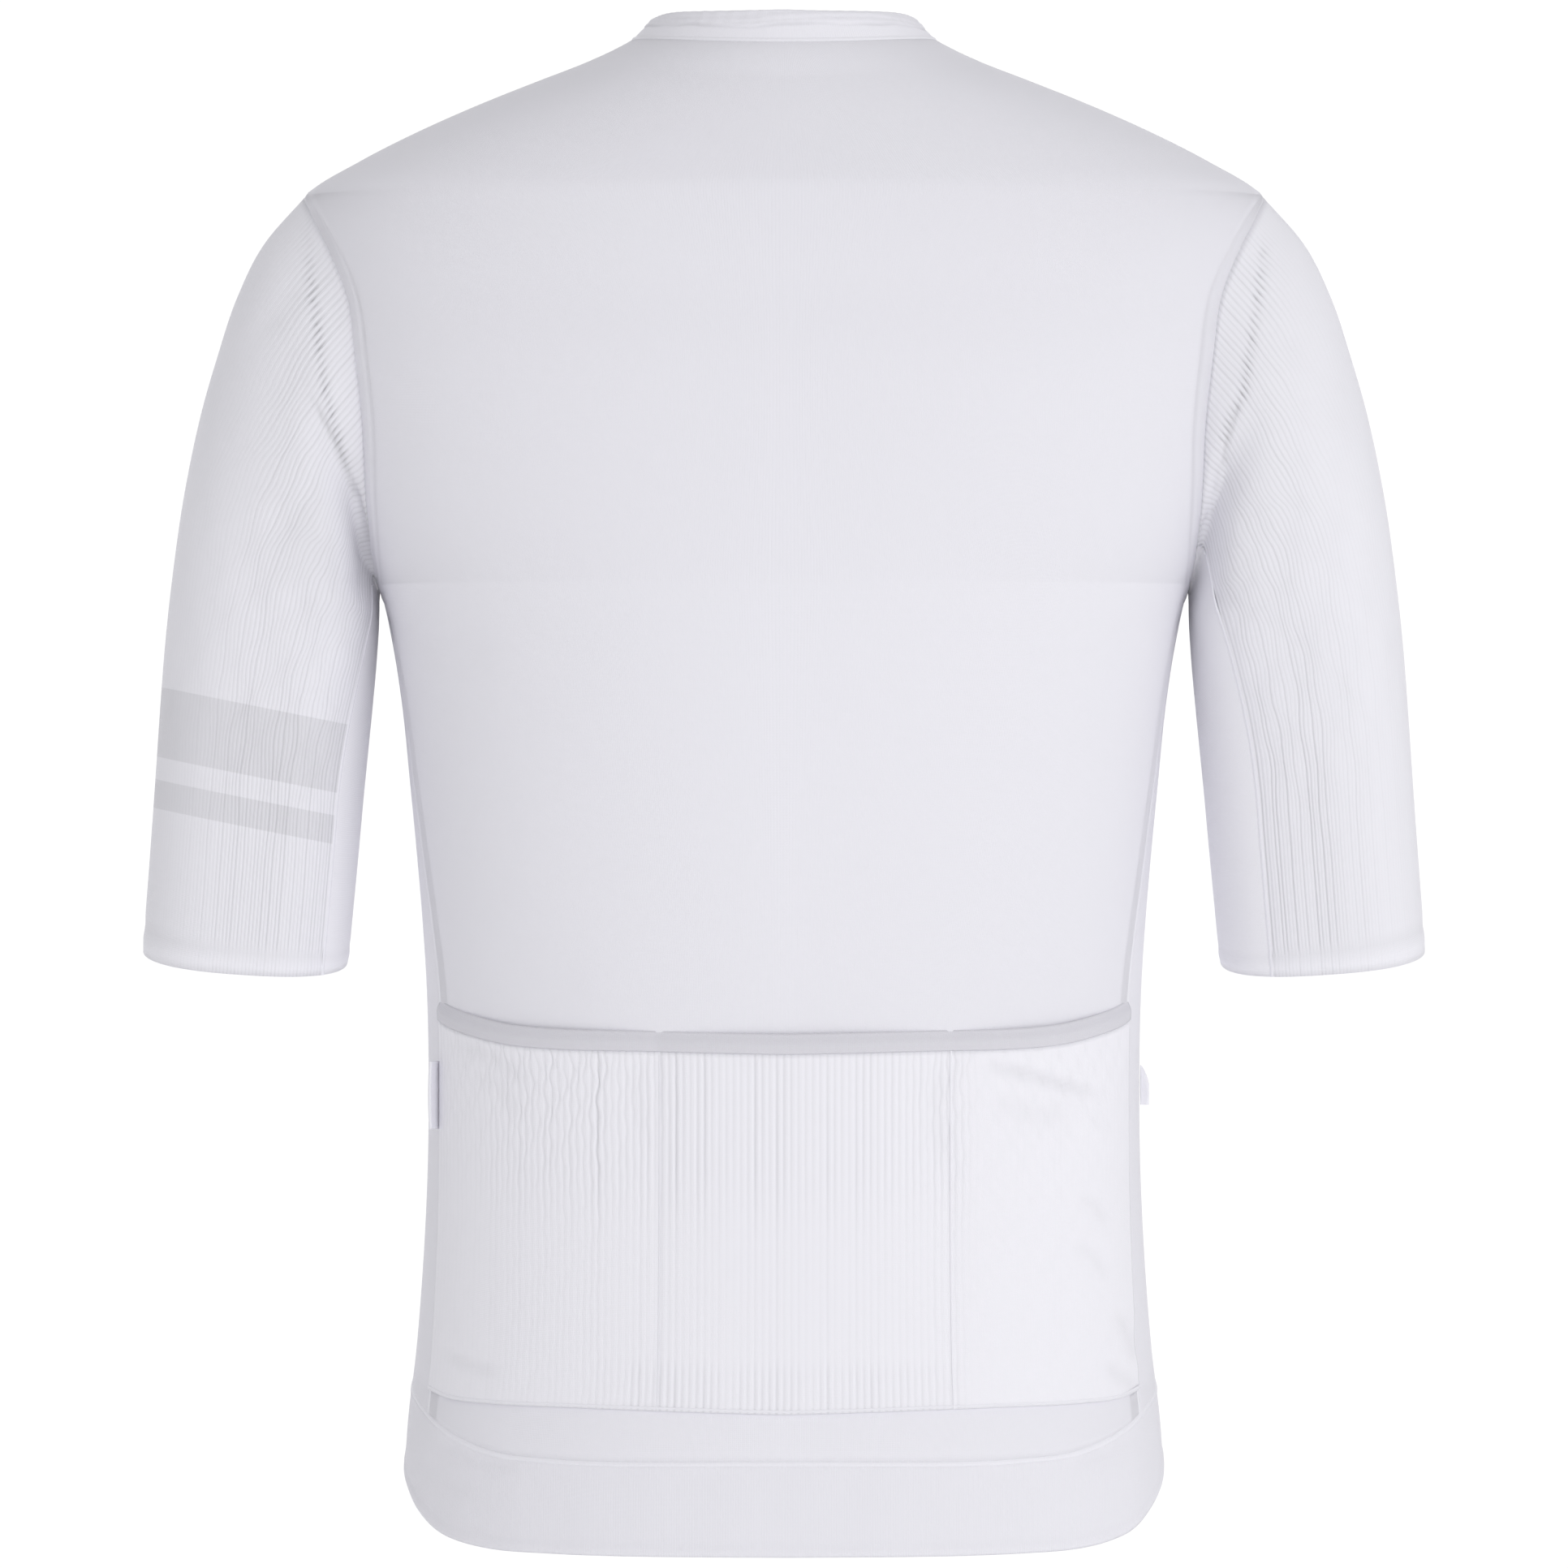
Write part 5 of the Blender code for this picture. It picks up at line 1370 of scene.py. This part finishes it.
# %% Sums on sockets
class Wire:
    """A shader socket that can be added, multiplied and so on."""

    def __init__(self, paint, socket):
        self.paint, self.socket = paint, socket

    def maths(self, operation, *terms):
        return self.paint.node("ShaderNodeMath", {"operation": operation}, *terms)

    def __add__(self, other):
        return self.maths("ADD", self, other)

    def __sub__(self, other):
        return self.maths("SUBTRACT", self, other)

    def __rsub__(self, other):
        return self.maths("SUBTRACT", other, self)

    def __mul__(self, other):
        return self.maths("MULTIPLY", self, other)

    def __truediv__(self, other):
        return self.maths("DIVIDE", self, other)

    def __pow__(self, other):
        return self.maths("POWER", self, other)

    __radd__, __rmul__ = __add__, __mul__

    def fraction(self):
        return self.maths("FRACT", self)

    def size(self):
        return self.maths("ABSOLUTE", self)

    def wave(self):
        """From 0 to 1 and back, once for each whole number."""
        return self.maths("SINE", self * (2 * math.pi)) * 0.5 + 0.5

    def step(self, low, high):
        """0 below low, 1 above high, soft between."""
        return self.paint.node("ShaderNodeMapRange", {"interpolation_type": "SMOOTHSTEP"},
                               self, low, high)


print("a wire adds, multiplies and bends:", [name for name in dir(Wire) if name[0] != "_"])

# %% [markdown]
# ### A paint
# A paint is one material with its nodes at hand. Every other node comes from one method, which
# is given the node's type, its settings and its sockets, so that a finish reads as a recipe.

# %% Paints
class Paint:
    """A material for one finish."""

    def __init__(self, name, colour, roughness, metallic=0.0, sheen=0.0):
        self.material = bpy.data.materials.new(name)
        self.material.use_nodes = True
        self.tree = self.material.node_tree
        self.shader = self.tree.nodes["Principled BSDF"]
        for socket, value in (("Base Color", (*colour, 1)), ("Roughness", roughness),
                              ("Metallic", metallic), ("Sheen Weight", sheen),
                              ("Sheen Roughness", 0.5)):
            self.shader.inputs[socket].default_value = value

    def node(self, kind, settings, *values, output=0):
        """A node of any kind: its settings first, then its sockets in order, None to skip one."""
        made = self.tree.nodes.new(kind)
        for setting, value in settings.items():
            setattr(made, setting, value)
        for socket, value in zip(made.inputs, values):
            if isinstance(value, Wire):
                self.tree.links.new(value.socket, socket)
            elif value is not None:
                socket.default_value = value
        return Wire(self, made.outputs[output])

    def feed(self, socket, wire):
        self.tree.links.new(wire.socket, self.shader.inputs[socket])

    def cloth_map(self):
        """Metres across and down the cloth."""
        place = self.node("ShaderNodeUVMap", {"uv_map": "cloth"})
        return (self.node("ShaderNodeSeparateXYZ", {}, place),
                self.node("ShaderNodeSeparateXYZ", {}, place, output=1))

    def mark(self, name):
        """A value that a piece's corners carry."""
        return self.node("ShaderNodeAttribute", {"attribute_name": name}, output=2)

    def shaded(self, colour):
        """The colour made darker or lighter by the shade."""
        return self.node("ShaderNodeMix", {"data_type": "RGBA", "blend_type": "MULTIPLY"}, 1.0,
                         None, None, None, None, None, (*colour, 1), self.shade, output=2)

    def relief(self, height, distance):
        self.feed("Normal", self.node("ShaderNodeBump", {}, 1.0, distance, None, height))


COOL_WHITE = (0.850, 0.842, 0.900)
thread = Paint("thread", COOL_WHITE, 0.6, sheen=0.1)
tooth_plastic = Paint("tooth_plastic", (0.78, 0.78, 0.80), 0.35)
zip_metal = Paint("zip_metal", (0.62, 0.63, 0.65), 0.32, metallic=1.0)
print("plain finishes:", [paint.material.name for paint in (thread, tooth_plastic, zip_metal)])

# %% [markdown]
# ### Knits
# Each column of a smooth knit is a row of small V-shaped loops. Two sums on the UV map draw
# it: one for the column, one for the loops along it. The marks on the corners then paint shade
# into the grooves and creases, where light gets lost, and whiten cloth that lies double.

# %% Knits
RIB_WHITE = (0.902, 0.894, 0.950)
GUSSET_WHITE = (0.898, 0.891, 0.938)
SLEEVE_WHITE = (0.868, 0.861, 0.915)
COLLAR_WHITE = (0.862, 0.854, 0.912)
TAPE_GREY = (0.702, 0.693, 0.748)
FINE = {"wale": 0.00062, "course": 0.00050, "depth": 0.00009}    # the body's smooth knit
RIBBED = {"wale": 0.00070, "course": 0.00055, "depth": 0.00008}
ELASTIC = {"wale": 0.0011, "course": 0.00042}


def knit(name, colour, wale, course, depth, roughness=0.85, sheen=0.05, groove=0.0, double=0.0,
         crease=0.0):
    """Smooth knit: columns of small V-shaped loops, a wale wide and a course tall.

    The groove strength paints shade into the valleys between ribs, the crease strength paints
    shade into sharp creases and folds, and double whitens cloth that lies double.
    """
    paint = Paint(name, colour, roughness, sheen=sheen)
    across, down = paint.cloth_map()
    column = (across / wale).fraction()
    from_middle = (column - 0.5).size() * 2
    valley = 1 - from_middle ** 3
    loops = (down / course + from_middle * 0.5).wave()
    paint.relief(valley * 0.6 + loops * 0.4, depth)
    paint.shade = None
    # Painted shade: the bottom of each rib's valley is darkened, as little light reaches it.
    if groove:
        low = (paint.mark("rib") + 0.25).wave() ** 3
        paint.shade = 1 - low * paint.mark("groove") * groove
    if double:
        light = paint.mark("double") * double + 1
        paint.shade = paint.shade * light if paint.shade else light
    # Painted shade along sharp creases, folds and the hem's groove.
    if crease:
        paint.shade = paint.shade * (1 - paint.mark("crease") * crease)
    if paint.shade:
        paint.feed("Base Color", paint.shaded(colour))
    return paint


body_knit = knit("body_knit", COOL_WHITE, **FINE, double=0.070)
rib_knit = knit("rib_knit", RIB_WHITE, **RIBBED, groove=0.085, crease=0.08)
SLEEVE_SHADE = {"groove": 0.13, "double": 0.03, "crease": 0.16}
sleeve_knit = knit("sleeve_knit", SLEEVE_WHITE, **RIBBED, **SLEEVE_SHADE)
gusset_knit = knit("gusset_knit", GUSSET_WHITE, **FINE, double=0.02, crease=0.16)
band_knit = knit("band_knit", COOL_WHITE, **ELASTIC, depth=0.00012)
collar_knit = knit("collar_knit", COLLAR_WHITE, **ELASTIC, depth=0.00010, double=0.045,
                   crease=0.13)
tape_weave = knit("tape_weave", TAPE_GREY, 0.00080, 0.00080, 0.00010, roughness=0.7)
zip_weave = knit("zip_weave", COOL_WHITE, 0.00070, 0.00090, 0.00010, roughness=0.7)
tab_weave = knit("tab_weave", RIB_WHITE, 0.00050, 0.00050, 0.00006, roughness=0.6)
print("knits and weaves:", [paint.material.name for paint in (
    body_knit, rib_knit, sleeve_knit, gusset_knit, band_knit, collar_knit, tape_weave,
    zip_weave, tab_weave)])

# %% [markdown]
# ### Hooped rib
# The left sleeve has two tonal hoops, a broad one over a narrow one. They are dyed into the
# rib, so they are colour only. Each lies level round the sleeve, square to its slant.

# %% Hooped rib
HOOP_SLANT, HOOP_MIDDLE_X = 0.20, 0.232
HOOPS = ((-0.3195, -0.2890), (-0.3420, -0.3295))   # lower and upper edge at the sleeve's middle
HOOP_EDGE, HOOP_DARKER = 0.0003, 0.12    # softness of an edge, and how much darker a hoop is
hooped_rib = knit("hooped_rib", SLEEVE_WHITE, **RIBBED, **SLEEVE_SHADE)
spot = hooped_rib.node("ShaderNodeTexCoord", {}, output=3)
level = (hooped_rib.node("ShaderNodeSeparateXYZ", {}, spot, output=2)
         - (hooped_rib.node("ShaderNodeSeparateXYZ", {}, spot) - HOOP_MIDDLE_X) * HOOP_SLANT)
hoops = sum((level.step(low - HOOP_EDGE, low + HOOP_EDGE)
             * (1 - level.step(high - HOOP_EDGE, high + HOOP_EDGE)) for low, high in HOOPS), 0)
hooped_rib.shade = hooped_rib.shade * (1 - hoops * HOOP_DARKER)
hooped_rib.feed("Base Color", hooped_rib.shaded(SLEEVE_WHITE))
print(len(HOOPS), "hoops,", [round((high - low) * 1000, 1) for low, high in HOOPS], "mm deep")

# %% [markdown]
# ## Tie the pieces to the frame
# Each dressed piece rides on the garment's body, stands for the solid it replaces, and states
# the size of cloth it is cut from.

# %% Cloth pieces and their cut
CUT = {  # piece: node it replaces, slot, finish, and width, length and area as cut
    "back_cloth": ("back_panel", "body_cloth", body_knit, 0.43, 0.64, 0.2300),
    "front_cloth_left": ("front_left", "body_cloth", body_knit, 0.215, 0.6, 0.0930),
    "front_cloth_right": ("front_right", "body_cloth", body_knit, 0.215, 0.6, 0.0930),
    "side_cloth_left": ("side_left", "body_cloth", body_knit, 0.082, 0.34, 0.0232),
    "side_cloth_right": ("side_right", "body_cloth", body_knit, 0.082, 0.34, 0.0232),
    "hem_band_cloth": ("hem_band", "band_cloth", band_knit, 0.82, 0.05, 0.0312),
    "pocket_cloth": ("pocket_panel", "rib_knit", rib_knit, 0.35, 0.168, 0.0530),
    "pocket_tape_cloth": ("pocket_tape", "grey_tape", tape_weave, 0.345, 0.01, 0.0030),
    "sleeve_cloth_left": ("sleeve_left", "rib_knit", hooped_rib, 0.34, 0.34, 0.0750),
    "sleeve_cloth_right": ("sleeve_right", "rib_knit", sleeve_knit, 0.33, 0.34, 0.0732),
    "underarm_cloth_left": ("sleeve_under_left", "body_cloth", gusset_knit,
                            0.078, 0.17, 0.0111),
    "underarm_cloth_right": ("sleeve_under_right", "body_cloth", gusset_knit,
                             0.09, 0.17, 0.0127),
    "collar_cloth": ("collar", "band_cloth", collar_knit, 0.41, 0.024, 0.0060),
    "tab_loop_left": ("tab_left", "tab_tape", tab_weave, 0.016, 0.0293, 0.00044),
    "tab_loop_right": ("tab_right", "tab_tape", tab_weave, 0.01, 0.0173, 0.00013),
    "zip_tape_cloth": ("zip_tape", "zip_tape", zip_weave, 0.0125, 0.556, 0.0068),
}
SEWN_ON = {  # sewing: piece it goes with, slot, finish
    "body_seams": ("back_cloth", "body_cloth", thread),
    "sleeve_seams_left": ("sleeve_cloth_left", "body_cloth", thread),
    "sleeve_seams_right": ("sleeve_cloth_right", "body_cloth", thread),
    "pocket_stitching": ("pocket_cloth", "rib_knit", thread),
    "zip_teeth": ("zip_tape_cloth", "zip_tape", tooth_plastic),
}


def dress(name, paint):
    piece = bpy.data.objects[name]
    piece.data.materials.append(paint.material)
    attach(piece, "garment")
    return piece


for name, (_, slot, paint) in SEWN_ON.items():
    dress(name, paint)

for name, (node, slot, paint, width, length, area) in CUT.items():
    piece = dress(name, paint)
    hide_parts(node)
    surface = sum(face.area for face in piece.data.polygons)
    print(f"{name}: cut {area:.5f}, worn {surface:.5f}, {surface / area:.2f}")
    [sewn for sewn, (cloth, _, _) in SEWN_ON.items() if cloth == name]

# %% [markdown]
# ### Slider and pull
# They are plain hard shapes, and their solids are true already, so they only get their metal.

# %% Slider and pull
for node in ("zip_slider", "zip_pull"):
    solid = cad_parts[node]
    solid.data.materials.clear()
    solid.data.materials.append(zip_metal.material)
    print(node, "is finished in", zip_metal.material.name)

# %% [markdown]
# ## Light, floor and camera
# White cloth shows its form by small changes of tone. A pale surround lights it from all
# round, and two broad soft lights from one side of the viewer shade it gently to the other.

# %% Surround
AROUND, BEHIND = 0.60, 1.05              # light from the surround, and how bright it looks
scene = bpy.context.scene
scene.view_settings.view_transform = "Standard"
world = bpy.data.worlds.new("studio")
scene.world = world
world.use_nodes = True
nodes, links = world.node_tree.nodes, world.node_tree.links
ground, seen = nodes["Background"], nodes.new("ShaderNodeBackground")
for background, strength in ((ground, AROUND), (seen, BEHIND)):
    background.inputs["Color"].default_value = (1, 1, 1, 1)
    background.inputs["Strength"].default_value = strength
path = nodes.new("ShaderNodeLightPath")
choose = nodes.new("ShaderNodeMixShader")
links.new(path.outputs["Is Camera Ray"], choose.inputs["Fac"])
links.new(ground.outputs[0], choose.inputs[1])
links.new(seen.outputs[0], choose.inputs[2])
links.new(choose.outputs[0], nodes["World Output"].inputs["Surface"])
print("the surround lights with", AROUND, "and looks", BEHIND, "bright")

# %% [markdown]
# ### Lights
# Broad suns cast soft shadows only. One faces the back of the jersey, a stronger one stands to
# the side of it, and one lights the front, so that the inside and the front aren't black.

# %% Lights
def soft_sun(name, towards, strength, width):
    """A broad, even light that shines from the given direction."""
    lamp = bpy.data.lights.new(name, "SUN")
    lamp.energy, lamp.angle = strength, math.radians(width)
    thing = bpy.data.objects.new(name, lamp)
    thing.rotation_mode = "QUATERNION"
    thing.rotation_quaternion = Vector(towards).to_track_quat("Z", "Y")
    scene.collection.objects.link(thing)
    print(name, strength, "from", towards)


soft_sun("front_light", (0.0, 1.0, 0.05), 0.22, 50)
soft_sun("side_light", (-0.62, 0.78, 0.08), 1.12, 40)
soft_sun("far_light", (0.10, -1.0, 0.10), 0.95, 50)

# %% [markdown]
# ### Floor
# A plain pale disc well below the hem sends light back up, as a white studio floor does. It
# looks as bright as the surround, so no horizon shows.

# %% Floor
FLOOR_Z, FLOOR_GLOW = -1.0, 0.21
floor_net = bmesh.new()
bmesh.ops.create_circle(floor_net, cap_ends=True, segments=96, radius=30)
bmesh.ops.translate(floor_net, verts=floor_net.verts, vec=(0, 0, FLOOR_Z))
floor = add_piece("floor", floor_net)
floor_paint = Paint("floor_white", (0.93, 0.93, 0.93), 0.9)
floor_paint.shader.inputs["Emission Color"].default_value = (1, 1, 1, 1)
floor_paint.shader.inputs["Emission Strength"].default_value = FLOOR_GLOW
glow = floor_paint.node("ShaderNodeEmission", {}, (1, 1, 1, 1), BEHIND)
seen_by_camera = floor_paint.node("ShaderNodeLightPath", {})
mixed = floor_paint.node("ShaderNodeMixShader", {}, seen_by_camera,
                         Wire(floor_paint, floor_paint.shader.outputs[0]), glow)
floor_paint.tree.links.new(mixed.socket, floor_paint.tree.nodes["Material Output"].inputs[0])
floor.data.materials.append(floor_paint.material)

# %% [markdown]
# ### Camera
# Clothes are shown from far off with a long lens, so that no sleeve looks larger than the
# other. The camera stands level with the jersey's middle, square behind it.

# %% Camera
CAMERA_AWAY, SEEN_SIZE, LEVEL = 5.0, 0.682, -0.3234
SENSOR = 36              # width of the film in mm
camera = bpy.data.objects.new("camera", bpy.data.cameras.new("camera"))
scene.collection.objects.link(camera)
camera.location = (0, CAMERA_AWAY, LEVEL)
camera.rotation_euler = (QUARTER, 0, math.pi)
camera.data.sensor_width = SENSOR
camera.data.lens = SENSOR * CAMERA_AWAY / SEEN_SIZE
camera.data.clip_end = 100
scene.camera = camera
print("lens", round(camera.data.lens), "mm")

# %% [markdown]
